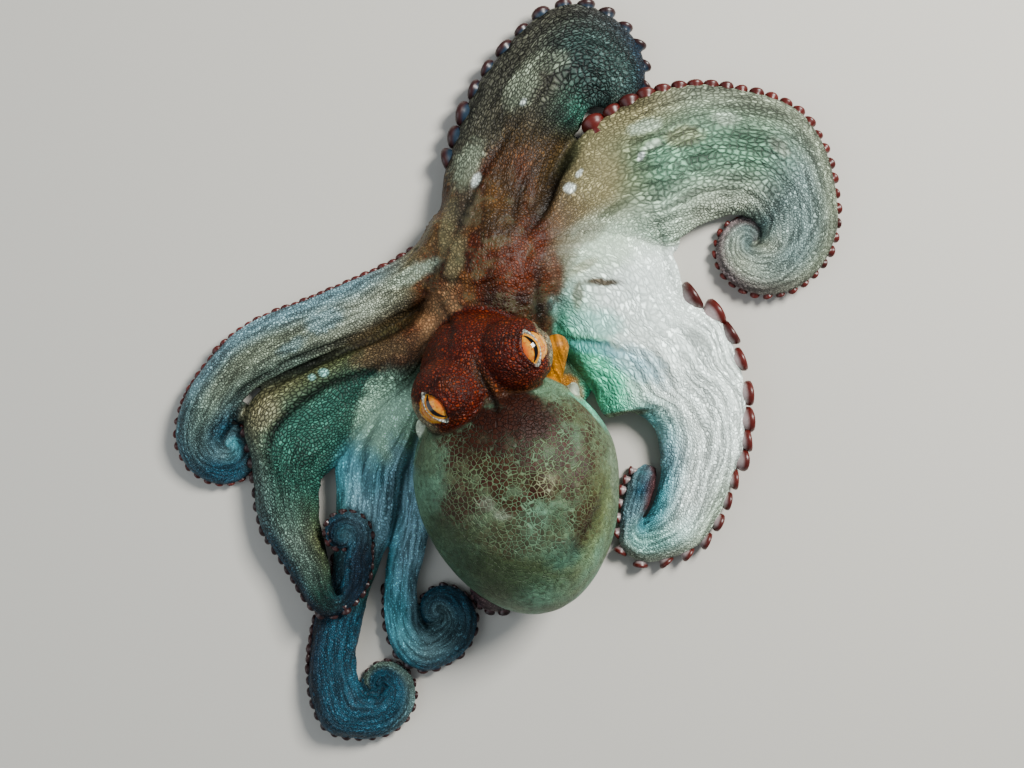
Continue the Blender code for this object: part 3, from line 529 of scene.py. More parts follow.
def smooth(points, at):
    """Catmull-Rom curve through the rows of points, read at fractional row numbers."""
    last = len(points) - 1
    at = np.clip(np.asarray(at, float), 0, last)
    row = np.minimum(at.astype(int), last - 1)
    t = (at - row)[:, None]
    slope = np.gradient(points, axis=0)
    ahead = (3 - 2 * t) * t * t
    return (points[row] * (1 - ahead) + points[row + 1] * ahead
            + slope[row] * t * (1 - t) ** 2 - slope[row + 1] * t * t * (1 - t))


class Arm:
    """An arm's edges along its length, its surface and the coordinates painted on it."""

    def __init__(self, name):
        spec = ARMS[name]
        rows = [(*row, 0)[:5] for row in spec["stations"]]
        rows += list(coil_stations(spec["coil"]) if "coil" in spec else ())
        start, least = spec.get("pressed", (len(rows), 1.0))
        share = np.interp(range(len(rows)), (start, max(start + 1, len(rows) - 1)), (1.0, least))
        self.name = name
        self.rows = np.column_stack((rows, share)).astype(float)
        self.fine = np.linspace(0, len(rows) - 1, (len(rows) - 1) * STATION_STEPS + 1)
        edge = smooth(self.rows, self.fine)
        middle = (edge[:, :2] + edge[:, 2:4]) / 2
        self.along = np.r_[0, np.cumsum(np.linalg.norm(np.diff(middle, axis=0), axis=1))]
        self.length = self.along[-1]
        self.root = self.reach(spec["root"])

    def reach(self, station):
        return np.interp(station, self.fine, self.along)

    def station(self, along):
        return np.interp(along, self.along, self.fine)

    def edges(self, along):
        edge = smooth(self.rows, self.station(along))
        edge[:, BASE] = np.maximum(edge[:, BASE], 0)
        return edge

    def frame(self, along):
        """Middle, half width vector (towards the outer edge), height and base."""
        edge = self.edges(along)
        middle = (edge[:, :2] + edge[:, 2:4]) / 2
        across = (edge[:, :2] - edge[:, 2:4]) / 2
        width = 2 * np.linalg.norm(across, axis=1)
        height = np.minimum(ARM_ASPECT * width, ARM_FULL_HEIGHT)
        height = height + WEB_SLOPE * np.maximum(0, width - WEB_WIDTH)
        nearness = np.maximum(0, 1 - np.linalg.norm(middle, axis=1) / CROWN_REACH)
        return middle, across, edge[:, 5] * height + CROWN_RISE * nearness ** 1.5, edge[:, BASE]

    def surface(self, profile):
        """Points of rings along the arm, (rings, points, 3), with their along and across."""
        along = np.linspace(0, self.length, int(self.length / RING_SPACING) + 2)
        middle, across, height, base = self.frame(along)
        ring = middle[:, None] + across[:, None] * profile[None, :, :1]
        level = base[:, None] + FLOOR_LIFT + profile[None, :, 1] * (height[:, None] - FLOOR_LIFT)
        return np.dstack((ring, level)), along


def section(count):
    """A closed smooth section: shares of half width and of height."""
    half = np.array(HALF_SECTION)
    ring = np.vstack((half, half[::-1] * (-1, 1)))
    wrapped = np.vstack((ring[-3:], ring, ring[:3]))
    return smooth(wrapped, 3 + np.arange(count) * len(ring) / count)


def tube_mesh(points):
    """Closed mesh data through rings of points, ends drawn to a point."""
    rings, count = points.shape[:2]
    first, last = points[0].mean(axis=0), points[-1].mean(axis=0)
    verts = np.vstack((points.reshape(-1, 3), first, last))
    ring, k = np.meshgrid(np.arange(rings - 1), np.arange(count), indexing="ij")
    after = (k + 1) % count
    quads = np.stack((ring * count + k, ring * count + after, (ring + 1) * count + after,
                      (ring + 1) * count + k), axis=-1).reshape(-1, 4)
    k = np.arange(count)
    start = np.stack((np.full(count, rings * count), (k + 1) % count, k), axis=-1)
    lift = (rings - 1) * count
    end = np.stack((np.full(count, rings * count + 1), lift + k, lift + (k + 1) % count), axis=-1)
    return verts, [*quads.tolist(), *start.tolist(), *end.tolist()]


def ellipsoid(centre, axes, tilt=0.0, taper=0.0, segments=96, rings=64):
    mesh = bmesh.new()
    bmesh.ops.create_uvsphere(mesh, u_segments=segments, v_segments=rings, radius=1)
    verts = np.array([vert.co for vert in mesh.verts])
    faces = [[vert.index for vert in face.verts] for face in mesh.faces]
    mesh.free()
    verts = verts * axes
    verts[:, 0] *= 1 + taper * verts[:, 1] / axes[1]
    turn = np.array(Euler((0, 0, radians(tilt))).to_matrix())
    return verts @ turn.T + centre, faces


def rod(start, end, radius, segments=24, rings=16):
    """A round bar with domed ends."""
    start, end = np.array(start), np.array(end)
    axis = (end - start) / np.linalg.norm(end - start)
    side = np.cross(axis, (0, 0, 1.0))
    side /= np.linalg.norm(side)
    up = np.cross(side, axis)
    around = np.linspace(0, 2 * pi, segments, endpoint=False)
    points = []
    for angle in np.linspace(-pi / 2 + 0.1, pi / 2 - 0.1, rings):
        middle = (start if angle < 0 else end) + axis * radius * sin(angle)
        ring = radius * cos(angle)
        points.append(middle + ring * (np.cos(around)[:, None] * side + np.sin(around)[:, None] * up))
    return tube_mesh(np.array(points))


# --- the skin -------------------------------------------------------------------------------
def new_mesh(name, verts, faces):
    mesh = bpy.data.meshes.new(name)
    mesh.from_pydata(verts, [], faces)
    mesh.update()
    return mesh


def soften(mesh):
    mesh.polygons.foreach_set("use_smooth", np.ones(len(mesh.polygons), bool))


def add_object(name, data):
    item = bpy.data.objects.new(name, data)
    bpy.context.scene.collection.objects.link(item)
    return item


def skin_sources(arms):
    """The closed shapes that the skin is melted from."""
    profile = section(48)
    for arm in arms:
        points, _ = arm.surface(profile)
        yield tube_mesh(points)
    yield ellipsoid(CROWN_CENTRE, CROWN_AXES)
    for x, y, half_x, half_y, height in WEB_PANELS:
        yield ellipsoid((x, y, 1), (half_x, half_y, height - 1))
    yield ellipsoid(HEAD_CENTRE, HEAD_AXES)
    for centre in EYE_BULGES.values():
        yield ellipsoid(centre, (EYE_BULGE_RADIUS,) * 3)
    yield ellipsoid(MANTLE_CENTRE, MANTLE_AXES, MANTLE_TILT, MANTLE_TAPER, 192, 128)
    yield rod(FUNNEL_START, FUNNEL_END, FUNNEL_RADIUS)
    for centre, axes in COLLAR_LIPS:
        yield ellipsoid(centre, axes, segments=32, rings=24)
    for arm in arms:
        coil = ARMS[arm.name].get("coil")
        if coil:
            least, more, rise, half_height = COIL_PAD
            radius = least + more * coil["radius"]
            middle = (*coil["centre"], coil["base"] + rise)
            yield ellipsoid(middle, (radius, radius, half_height), segments=48, rings=32)


def melt(sources):
    """One closed surface around all the sources, as an object with mesh in millimetres."""
    verts, faces, count = [], [], 0
    for points, loops in sources:
        points = points.copy()
        points[:, 2] = np.maximum(points[:, 2], FLOOR_LIFT)
        verts.append(points)
        faces += [[k + count for k in loop] for loop in loops]
        count += len(points)
    raw = add_object("raw", new_mesh("raw", np.vstack(verts), faces))
    skin = raw.modifiers.new("skin", "REMESH")
    skin.mode = "VOXEL"
    skin.voxel_size = SKIN_VOXEL
    shaped = raw.evaluated_get(bpy.context.evaluated_depsgraph_get())
    mesh = bpy.data.meshes.new_from_object(shaped)
    bpy.data.objects.remove(raw, do_unlink=True)
    return mesh


def read(mesh):
    verts = np.empty(len(mesh.vertices) * 3)
    mesh.vertices.foreach_get("co", verts)
    edges = np.empty(len(mesh.edges) * 2, np.int32)
    mesh.edges.foreach_get("vertices", edges)
    return verts.reshape(-1, 3), edges.reshape(-1, 2)


def relax(verts, edges, strength, rounds):
    """Smooths by moving each vertex towards its neighbours' mean."""
    ends = np.r_[edges[:, 0], edges[:, 1]]
    others = np.r_[edges[:, 1], edges[:, 0]]
    degree = np.maximum(np.bincount(ends, minlength=len(verts)), 1)
    for _ in range(rounds):
        mean = np.column_stack([np.bincount(ends, verts[others, k], len(verts)) for k in range(3)])
        verts = verts + strength * (mean / degree[:, None] - verts)
    return verts


def normals(mesh, verts):
    mesh.vertices.foreach_set("co", verts.ravel())
    mesh.update()
    out = np.empty(len(verts) * 3)
    mesh.vertex_normals.foreach_get("vector", out)
    return out.reshape(-1, 3)


class Place:
    """Where each skin vertex lies: for every arm its along, across and distance."""

    def __init__(self, verts, arms):
        profile = section(40)
        self.arms = arms
        count = len(verts)
        self.along = np.zeros((len(arms), count))
        self.across = np.zeros((len(arms), count))
        self.gap = np.full((len(arms), count), FAR)
        for index, arm in enumerate(arms):
            points, along = arm.surface(profile)
            self.measure(index, arm, points, along, profile, verts)

    def measure(self, index, arm, points, along, profile, verts):
        low, high = points.min(axis=(0, 1)) - ARM_MARGIN, points.max(axis=(0, 1)) + ARM_MARGIN
        chosen = np.flatnonzero(np.all((verts > low) & (verts < high), axis=1))
        flat = points.reshape(-1, 3)
        tree = KDTree(len(flat))
        for k, point in enumerate(flat):
            tree.insert(point, k)
        tree.balance()
        found = [tree.find(point)[1:] for point in verts[chosen]]
        nearest = np.array([item[0] for item in found])
        ring = nearest // len(profile)
        middle, across, _, _ = arm.frame(along)
        forward = np.gradient(middle, along, axis=0)
        forward /= np.linalg.norm(forward, axis=1)[:, None]
        offset = verts[chosen, :2] - middle[ring]
        half = np.linalg.norm(across, axis=1)[ring]
        side = across[ring] / half[:, None]
        slip = verts[chosen, :2] - flat[nearest, :2]
        self.along[index, chosen] = along[ring] + np.sum(slip * forward[ring], axis=1)
        self.across[index, chosen] = np.sum(offset * side, axis=1) / half
        self.gap[index, chosen] = [item[1] for item in found]

    def weights(self):
        """How much each vertex belongs to each arm."""
        blend, most = ARM_BLEND
        closeness = np.exp(-np.minimum(self.gap - self.gap.min(axis=0), most) / blend)
        return closeness / closeness.sum(axis=0)


def ellipsoid_depth(verts, centre, axes, tilt=0.0):
    """About 1 on an ellipsoid's surface, less inside."""
    turn = np.array(Euler((0, 0, radians(tilt))).to_matrix())
    return np.linalg.norm((verts - centre) @ turn / axes, axis=1)


def lay_ground(place, index):
    """Ground colour of an arm at every vertex, and how dark its net is."""
    arm = place.arms[index]
    paint = ARM_PAINT[arm.name]
    station = arm.station(place.along[index])
    stops = [row[0] for row in paint]
    sides = []
    for side in (1, 2, 3):
        shades = np.array([colour(row[side]) for row in paint])
        sides.append(np.column_stack([np.interp(station, stops, shades[:, k]) for k in range(3)]))
    outer, middle, inner = sides
    across = place.across[index]
    ground = tint(tint(middle, outer, ramp(across, *EDGE_FADE)), inner, ramp(-across, *EDGE_FADE))
    return ground, np.interp(station, stops, [row[4] for row in paint])


def fineness(place, index):
    """1 where an arm's granules are fine, 0 where they are twice as large."""
    low, high, middle, reach = COARSE.get(place.arms[index].name, (0, 0, 0, 1))
    station = place.arms[index].station(place.along[index])
    inside = ramp(station, low - 1, low) * ramp(-station, -high - 1, -high)
    near = ramp(-np.abs(place.across[index] - middle), -reach - 0.3, -reach + 0.2)
    return 1 - inside * near


def flow(place, index):
    """Coordinates along and across an arm, counted in granules."""
    arm = place.arms[index]
    line = np.linspace(0, arm.length, 500)
    width = 2 * np.linalg.norm(arm.frame(line)[1], axis=1)
    size = GRANULE[0] + GRANULE[1] * np.clip(width, 0, GRANULE_WIDEST)
    steps = np.r_[0, np.cumsum(np.diff(line) / (GRANULE_STRETCH * size[1:]))]
    u = np.interp(place.along[index], line, steps)
    v = place.across[index] * np.interp(place.along[index], line, width / 2 / size)
    along, across, seed, reach = GRANULE_DRIFT
    drift = clouds(np.column_stack((u * along, v * across)), seed + index)
    return np.column_stack((u, v + reach * drift, np.full(len(u), 10.0 * index)))


def seen(verts):
    """Where each vertex appears on the floor plane from the camera."""
    foot = np.array(CAMERA_FOOT)
    return foot + (verts[:, :2] - foot) / (1 - verts[:, 2:] / (CAMERA_HEIGHT / MM))


def blot(spots, x, y, half_x, half_y, turn):
    """1 inside an oval mark, fading to 0 around its edge."""
    angle = radians(turn)
    dx, dy = spots[:, 0] - x, spots[:, 1] - y
    along = (dx * cos(angle) + dy * sin(angle)) / half_x
    across = (-dx * sin(angle) + dy * cos(angle)) / half_y
    return within(np.hypot(along, across), "mark")


class Ragged:
    """Marks with ragged edges: their outlines wander and break up into speckles."""

    def __init__(self, verts, spots):
        self.spots = spots
        self.wander = np.column_stack((cloud(verts, "wander_x"), cloud(verts, "wander_y")))
        width, *noise_kind = SPECKLE
        self.speckle = clouds(verts / width, *noise_kind)

    def share(self, x, y, half_x, half_y, turn):
        most, of_size, broken = RAGGED
        shift = min(most, of_size * min(half_x, half_y))
        inside = blot(self.spots + shift * self.wander, x, y, half_x, half_y, turn)
        return np.clip(inside + broken * inside * (1 - inside) * self.speckle, 0, 1)


def groove_depth(spots, route, half_width):
    """1 on a route, fading to each side and at both ends."""
    route = smooth(np.array(route), np.linspace(0, len(route) - 1, GROOVE_STEPS))
    best = np.full(len(spots), FAR)
    fade = np.zeros(len(spots))
    low, high = route.min(axis=0) - GROOVE_REACH, route.max(axis=0) + GROOVE_REACH
    near = np.flatnonzero(np.all((spots > low) & (spots < high), axis=1))
    for k, (first, second) in enumerate(zip(route, route[1:])):
        step = second - first
        share = np.clip((spots[near] - first) @ step / (step @ step), 0, 1)
        gap = np.linalg.norm(spots[near] - first - share[:, None] * step, axis=1)
        closer = gap < best[near]
        best[near] = np.where(closer, gap, best[near])
        fade[near] = np.where(closer, sin(pi * (k + 0.5) / (GROOVE_STEPS - 1)) ** 0.5, fade[near])
    return fade * np.exp(-(best / half_width) ** 2)


def grooves(spots):
    """How deep the skin is grooved at each spot, in millimetres."""
    return sum(depth * groove_depth(spots, route, half_width) for route, half_width, depth in GROOVES)


def rod_distance(verts, start, end):
    """Distance from the line between a rod's ends."""
    start, end = np.array(start), np.array(end)
    axis = end - start
    share = np.clip((verts - start) @ axis / (axis @ axis), 0, 1)
    return np.linalg.norm(verts - start - share[:, None] * axis, axis=1)


class Regions:
    """How much each vertex belongs to the mantle, head, eye bulges, funnel and crown."""

    def __init__(self, verts, place):
        inside = ellipsoid_depth(verts, MANTLE_CENTRE, MANTLE_AXES, MANTLE_TILT)
        self.mantle = within(inside, "mantle")
        from_bulges = [np.linalg.norm(verts - centre, axis=1) for centre in EYE_BULGES.values()]
        self.bulge = within(np.minimum(*from_bulges), "bulge")
        inside = ellipsoid_depth(verts, HEAD_CENTRE, HEAD_AXES)
        self.head = np.maximum(within(inside, "head") * ramp(verts[:, 2], *HEAD_LEVELS), self.bulge)
        self.mantle = self.mantle * (1 - self.bulge) * ramp(inside, *MANTLE_ROOT)
        self.head = self.head * (1 - self.mantle)
        self.funnel = within(rod_distance(verts, FUNNEL_START, FUNNEL_END), "funnel") * (1 - self.head)
        lips = [within(ellipsoid_depth(verts, *lip), "lip") for lip in COLLAR_LIPS]
        self.lips = np.maximum(*lips) * (1 - self.head)
        self.bare = np.maximum(self.funnel, self.lips)
        crown = within(ellipsoid_depth(verts, *CROWN_PAINT), "crown")
        self.crown = crown * (1 - self.mantle) * (1 - self.funnel)
        nearest = place.gap.argmin(axis=0)
        picks = (nearest, np.arange(len(verts)))
        roots = np.array([arm.root for arm in place.arms])
        web = ramp(roots[nearest] - place.along[picks], *WEB_ROOTS) * within(place.gap[picks], "web")
        web = np.clip(np.maximum(web, HEAD_SOFT * self.head), 0, 1)
        self.soft = web * (1 - self.bulge) * (1 - self.funnel)


def paint_arms(verts, place, weights, regions, marks):
    """Ground colour of the arms and crown with their marks, and how dark the net is."""
    ground, dark = np.zeros((len(verts), 3)), np.zeros(len(verts))
    for index, share in enumerate(weights):
        shade, contrast = lay_ground(place, index)
        ground += share[:, None] * shade
        dark += share * contrast
    rust = RUST_BRIGHT * tint(colour("maroon"), colour("rust"), cloud(verts, "rust"))
    for name, shade, bright, strength in RUST_LAYERS:
        rust = tint(rust, colour(shade, bright), strength * cloud(verts, name))
    least, patches = CROWN_PATCHES
    crown = np.clip(regions.crown * (least + patches * marks.wander[:, 0]), 0, 1)
    ground = tint(ground, rust, crown)
    for *oval, name, strength in MARKS:
        ground = tint(ground, colour(name), strength * marks.share(*oval))
    return ground, mix(dark, CROWN_NET, crown)


def paint_head(verts, marks):
    """The head's colour: bronze round the eyes, pale flecks beside them, a dark ring, pale lids."""
    head = tint(colour("deep_red"), colour("rust"), cloud(verts, "head"))
    patches = BRONZE[0] + BRONZE[1] * cloud(verts, "eye_patches")
    flecks = np.clip(PALE_FLECKS[0] + PALE_FLECKS[1] * marks.speckle, 0, 1)
    ring_at, ring_width, ring_strength = EYE_RING
    for name, centre in EYE_BULGES.items():
        offset = (verts - centre) / EYE_BULGE_RADIUS
        reach = np.hypot(offset[:, 0], offset[:, 1])
        near = within(reach, "eye_surround")
        bronze = ramp(reach, *BRONZE_FROM) * (patches * near) * ramp(-offset[:, 1], *BRONZE_FRONT)
        head = tint(head, colour("bronze"), bronze)
        out = eye_frame(name)[1]
        outward = offset[:, :2] @ (out[:2] / np.linalg.norm(out[:2]))
        head = tint(head, colour("sand"), ramp(outward, *PALE_FROM) * (flecks * near))
        ring = np.exp(-((reach - ring_at) / ring_width) ** 2)
        head = tint(head, colour("maroon"), ring_strength * ring * ramp(outward, *RING_SIDE))
        head = tint(head, colour("gold", bright=0.7), within(eye_opening(verts, name), "eyeball"))
        head = tint(head, colour("lid"), eye_rim(verts, name))
    return head


def paint_mantle(verts, marks):
    """Colours of the mantle's cells and of the net between them."""
    mantle = tint(colour("green_grey"), colour("sea_green"), cloud(verts, "mantle"))
    for *oval, name, strength in MANTLE_MARKS:
        mantle = tint(mantle, colour(name), strength * marks.share(*oval))
    brown = np.zeros(len(verts))
    for *oval, strength in BROWN_NET:
        brown = np.maximum(brown, strength * marks.share(*oval))
    low, high, strength, less = MOSS_SPECKLE
    moss = strength * ramp(marks.speckle, low, high) * (1 - less * brown)
    mantle = tint(mantle, colour("moss"), moss)
    cell = tint(colour("umber", bright=0.5), colour("maroon", bright=1.2), cloud(verts, "cell"))
    patchy = CELL_PATCHES[0] + CELL_PATCHES[1] * cloud(verts, "cell_patches")
    cell = tint(mantle * CELL_GROUND, cell, np.clip(CELL_GAIN * brown, 0, 1) * patchy)
    net = tint(mantle, colour("green_grey"), brown * BROWN_LINES)
    for *oval, strength in NECK:
        share = strength * marks.share(*oval)
        net = tint(net, colour("neck", bright=0.5), share)
        cell = tint(cell, colour("neck"), share)
    return cell, net


def paint_skin(verts, place, weights, regions, hollow, furrow):
    """Colour of the granules and of the net between them, for each vertex, with painted shade in hollows
    and grooves.
    """
    marks = Ragged(verts, seen(verts))
    ground, dark = paint_arms(verts, place, weights, regions, marks)
    ground = tint(ground, paint_head(verts, marks), regions.head)
    dark = mix(dark, HEAD_NET, regions.head)
    net = ground * (1 - dark)[:, None]
    low, high, strength = PALE_NET
    pale = regions.crown * ramp(marks.wander[:, 1], low, high) * (1 - regions.head)
    net = tint(net, colour("tan", bright=0.45), strength * pale)
    mantle_cell, mantle_net = paint_mantle(verts, marks)
    ground = tint(ground, mantle_cell, regions.mantle)
    net = tint(net, mantle_net, regions.mantle)
    for name, share in (("pale_grey", regions.lips), ("ochre", regions.funnel)):
        ground = tint(ground, colour(name), share)
        net = tint(net, colour(name, bright=0.95), share)
    # Painted shade: the skin is darkened in hollows and at the bottom of grooves.
    shade = np.exp(-HOLLOW_SHADE * np.clip(hollow, 0, 1) - GROOVE_SHADE * furrow)[:, None]
    return ground * shade, net * shade


def eye_frame(name):
    """Middle of the bulge, the eye's outward direction, its level direction and its up."""
    out = np.array(EYEBALL_OUT[name])
    out = out / np.linalg.norm(out)
    level = np.cross((0, 0, 1.0), out)
    level /= np.linalg.norm(level)
    return np.array(EYE_BULGES[name]), out, level, np.cross(out, level)


def eye_place(verts, name):
    """Distances from an eye's middle over the bulge: level, up, in millimetres."""
    centre, out, level, up = eye_frame(name)
    ray = verts - centre
    distance = np.linalg.norm(ray, axis=1)
    ray = ray / np.maximum(distance, 1e-6)[:, None]
    front = ray @ out
    side, rise = ray @ level, ray @ up
    angle = np.arccos(np.clip(front, -1, 1)) / np.maximum(np.hypot(side, rise), 1e-6)
    arc = EYE_BULGE_RADIUS * angle
    near = (distance < EYE_BULGE_RADIUS + 2.5) & (front > 0)
    return arc * side, arc * rise, near


def eye_opening(verts, name):
    """Less than 1 inside the lids' almond opening."""
    level, rise, near = eye_place(verts, name)
    middle = rise - OPENING_RISE + OPENING_BEND * level ** 2
    return np.where(near, (level / OPENING[0]) ** 2 + np.abs(middle) / OPENING[1], 9.0)


def eye_rim(verts, name):
    """The pale lid below the eye's opening."""
    rise = eye_place(verts, name)[1]
    opening = eye_opening(verts, name)
    low = ramp(OPENING_RISE - rise, -0.3, 0.3)
    return 0.9 * (low * within(opening, "lid") * ramp(opening, 0.93, 1.0))


def eye_relief(verts):
    """How far the skin sinks at the eyes' openings and rises on their lids."""
    lift = np.zeros(len(verts))
    for name in EYE_BULGES:
        opening = eye_opening(verts, name)
        lift -= OPENING_DEPTH * within(opening, "opening")
        for height, where, width in LID_FOLDS:
            lift += height * np.exp(-((opening - where) / width) ** 2)
        lift += LOWER_LID * eye_rim(verts, name) * ramp(opening, 0.95, 1.15)
    return lift


def arm_lines(flow_row, index, kind):
    """Fine ridges along an arm: 1 on a crest."""
    stretch, seed, sharpness = kind
    return 1 - sharpness * np.abs(noise(flow_row[:, :2] * stretch, seed + index))


def skin_relief(verts, place, weights, regions, furrow, flows):
    """Height of the skin's lumps, ridges, papillae, grooves, folds and bumps."""
    relief = LUMPS * cloud(verts, "lumps") + WEB_LUMPS * regions.soft * cloud(verts, "web")
    for index, share in enumerate(weights):
        ridges = arm_lines(flows[index], index, RIDGE_LINES)
        relief += share * RIDGES * ridges * (1 - regions.mantle) * (1 - regions.head)
    near, own = cells(verts / PAPILLA_SPACING, PAPILLA_SEED)
    papillae = within(near, "papilla") * (own > PAPILLA_GAPS)
    rough = np.maximum(regions.crown, HEAD_ROUGH * regions.head) * (1 - regions.mantle)
    relief += PAPILLAE * rough * papillae
    relief -= furrow
    for index, share in enumerate(weights):
        if place.arms[index].name in FOLDED:
            folds = arm_lines(flows[index], index, FOLD_LINES)
            inner = ramp(-place.across[index], *INNER_HALF)
            relief += share * FOLDS * folds * inner * (1 - regions.mantle) * (1 - regions.head)
    for oval in MANTLE_BUMPS:
        relief += BUMPS * regions.mantle * blot(seen(verts), *oval)
    return relief


def main():
    arms = [Arm(name) for name in ARMS]
    mesh = melt(skin_sources(arms))
    verts, edges = read(mesh)
    skin_rounds, web_rounds, last_rounds, hollow_rounds = SMOOTHING
    verts = relax(verts, edges, *skin_rounds)
    place = Place(verts, arms)
    weights = place.weights()
    regions = Regions(verts, place)
    verts = relax(verts, edges, web_rounds[0] * regions.soft[:, None], web_rounds[1])
    verts = relax(verts, edges, *last_rounds)
    facing = normals(mesh, verts)
    # How far each vertex lies in a hollow, which darkens it with painted shade.
    hollow = np.sum((relax(verts, edges, *hollow_rounds) - verts) * facing, axis=1)
    furrow = grooves(seen(verts))
    flows = np.array([flow(place, index) for index in range(len(arms))])
    for name in EYE_BULGES:
        regions.bare = np.maximum(regions.bare, within(eye_opening(verts, name), "bare"))
    relief = skin_relief(verts, place, weights, regions, furrow, flows) * (1 - BARE_SMOOTH * regions.bare)
    flank = ramp(verts[:, 2], *FLANK)
    ground, net = paint_skin(verts, place, weights, regions, hollow, furrow)
    verts = verts + facing * (relief * flank + eye_relief(verts))[:, None]
    verts[:, 2] = np.maximum(verts[:, 2], LOWEST)

    # The shift puts the left eyeball on the CAD model's left eye.
    shift = (np.array(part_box("eye_left")).mean(axis=0)
             - MM * np.add(EYE_BULGES["eye_left"], EYEBALL_OUT["eye_left"]))
    mesh.vertices.foreach_set("co", (verts * MM + shift).ravel())
    soften(mesh)
    store(mesh, "ground", ground)
    store(mesh, "net", net)
    store_flow(mesh, place, weights, regions, flows)
    mesh.update()
    skin = add_object("skin", mesh)
    mesh.materials.append(skin_material())
    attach(skin, "root")
    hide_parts(*(item["node"] for item in frame["record"]["subparts"] if "eye" not in item["node"]))
    add_suckers(arms, shift)
    for name in EYE_BULGES:
        add_eye(name, shift)
    stage(shift)


def store_flow(mesh, place, weights, regions, flows):
    """The two nearest arms' coordinates, how they mix, and where the skin is fine or bare."""
    order = np.argsort(-weights, axis=0)
    rank = np.arange(weights.shape[1])
    first, second = flows[order[0], rank], flows[order[1], rank]
    share = weights[order[1], rank] / (weights[order[0], rank] + weights[order[1], rank])
    body = np.clip(np.maximum(regions.mantle, np.maximum(regions.head, regions.crown)), 0, 1)
    fine = sum(part * fineness(place, index) for index, part in enumerate(weights))
    on_mantle, on_head, on_crown = DULL
    spark = 1 - on_mantle * regions.mantle - on_head * regions.head - on_crown * regions.crown
    store(mesh, "flow_a", first)
    store(mesh, "flow_b", second)
    store(mesh, "mixing", np.column_stack((share, body, regions.mantle)))
    store(mesh, "grain", np.column_stack((fine, np.clip(spark, 0, 1), regions.head)))
    store(mesh, "bare", np.column_stack((regions.bare, regions.soft, regions.bare)))


def store(mesh, name, values):
    layer = mesh.attributes.new(name, "FLOAT_VECTOR", "POINT")
    layer.data.foreach_set("vector", values.ravel().astype(np.float32))


# --- suckers --------------------------------------------------------------------------------
# A sucker from its stalk to the middle of its cup: radius and height, and its colour.
SUCKER_SHAPE = (
    (0.62, -1.0, "stalk"), (0.62, -0.35, "stalk"), (0.76, 0.0, "stalk"), (0.93, 0.22, "rim"),
    (1.0, 0.42, "rim"), (0.95, 0.60, "rim"), (0.82, 0.66, "rim"), (0.66, 0.50, "cup"),
    (0.46, 0.30, "cup"), (0.22, 0.20, "cup"), (0.05, 0.18, "cup"),
)
SUCKER_SIDES = 16
# Each arm's row on its outer edge: first station, spacing at the start and end, tilt below
# level, how far out, and the colours of its stalk, rim and cup.
SUCKER_ROWS = {
    "arm_r1": (1.6, 4.6, 2.6, 22, 0.2, "deep_blue", "sucker_dark", "lilac"),
    "arm_r2": (2.2, 4.6, 1.3, 30, 0.2, "sucker_red", "sucker_red", "lilac"),
    "arm_r3": (3.1, 6.0, 2.0, 8, 0.9, "mauve", "sucker_red", "lilac"),
    "arm_r4": (7.0, 2.6, 1.6, 20, 0.2, "plum", "sucker_dark", "lilac"),
    "arm_l1": (2.4, 2.6, 1.5, 30, -0.1, "sucker_red", "sucker_red", "lilac"),
    "arm_l2": (6.2, 2.7, 1.5, 30, -0.1, "sucker_dark", "sucker_dark", "lilac"),
    "arm_l3": (6.0, 2.7, 1.5, 30, -0.1, "sucker_dark", "sucker_dark", "lilac"),
    "arm_l4": (6.4, 2.7, 1.5, 30, -0.2, "deep_blue", "sucker_dark", "lilac"),
}
USUAL_WIDTH = 0.62             # a sucker's radius, as a share of the spacing
SUCKER_WIDTH = {"arm_r1": 0.70, "arm_r2": 0.70}
SUCKER_SHRINK = {"arm_r2": 0.5, "arm_r3": 1.2}      # below 1 they shrink sooner along the arm
SUCKER_HEIGHT = 0.40           # of the arm's height
SUCKER_CLEAR = 1.05            # and at least this many radii above the arm's base
SUCKER_ROUGHNESS = 0.35
SUCKER_GAP = (1.5, 0.7)        # spacing at most, of an arm's half width, and at least, in mm
SUCKER_SINK = 0.35             # how deep a sucker sits in the edge, of its radius
LOW_SUCKERS = (0.30, -0.38)    # two rows under an arm, as shares of its half width
LOW_RADIUS = (0.42, 0.34)      # their radius: of the spacing, and at most of the half width
SUCKER_SPREAD = (0.08, 0.06, 0.15)    # how much direction, size and tone vary


def sucker_places(arm):
    """Position, facing direction and radius of each sucker on an arm's outer edge and underside."""
    first, start_gap, end_gap, tilt, out = SUCKER_ROWS[arm.name][:5]
    along = arm.reach(first)
    begin = along
    while along < arm.length - 1:
        share = ((along - begin) / (arm.length - begin)) ** SUCKER_SHRINK.get(arm.name, 1)
        middle, across, height, base = (item[0] for item in arm.frame(np.array([along, along + 0.5])))
        half = np.linalg.norm(across)
        side = across / half
        gap = min(start_gap + (end_gap - start_gap) * share, SUCKER_GAP[0] * half)
        radius = SUCKER_WIDTH.get(arm.name, USUAL_WIDTH) * gap
        angle = radians(tilt)
        facing = np.array((*(side * cos(angle)), -sin(angle)))
        spot = middle + side * (half - SUCKER_SINK * radius + out)
        edge = np.array((*spot, base + SUCKER_HEIGHT * height))
        edge[2] = max(edge[2], base + SUCKER_CLEAR * radius)
        yield edge, facing, radius
        for shift in LOW_SUCKERS:
            low = np.array((*(middle + across * shift), base + FLOOR_LIFT))
            yield low, np.array((0, 0, -1.0)), min(LOW_RADIUS[0] * gap, LOW_RADIUS[1] * half)
        along += max(gap, SUCKER_GAP[1])


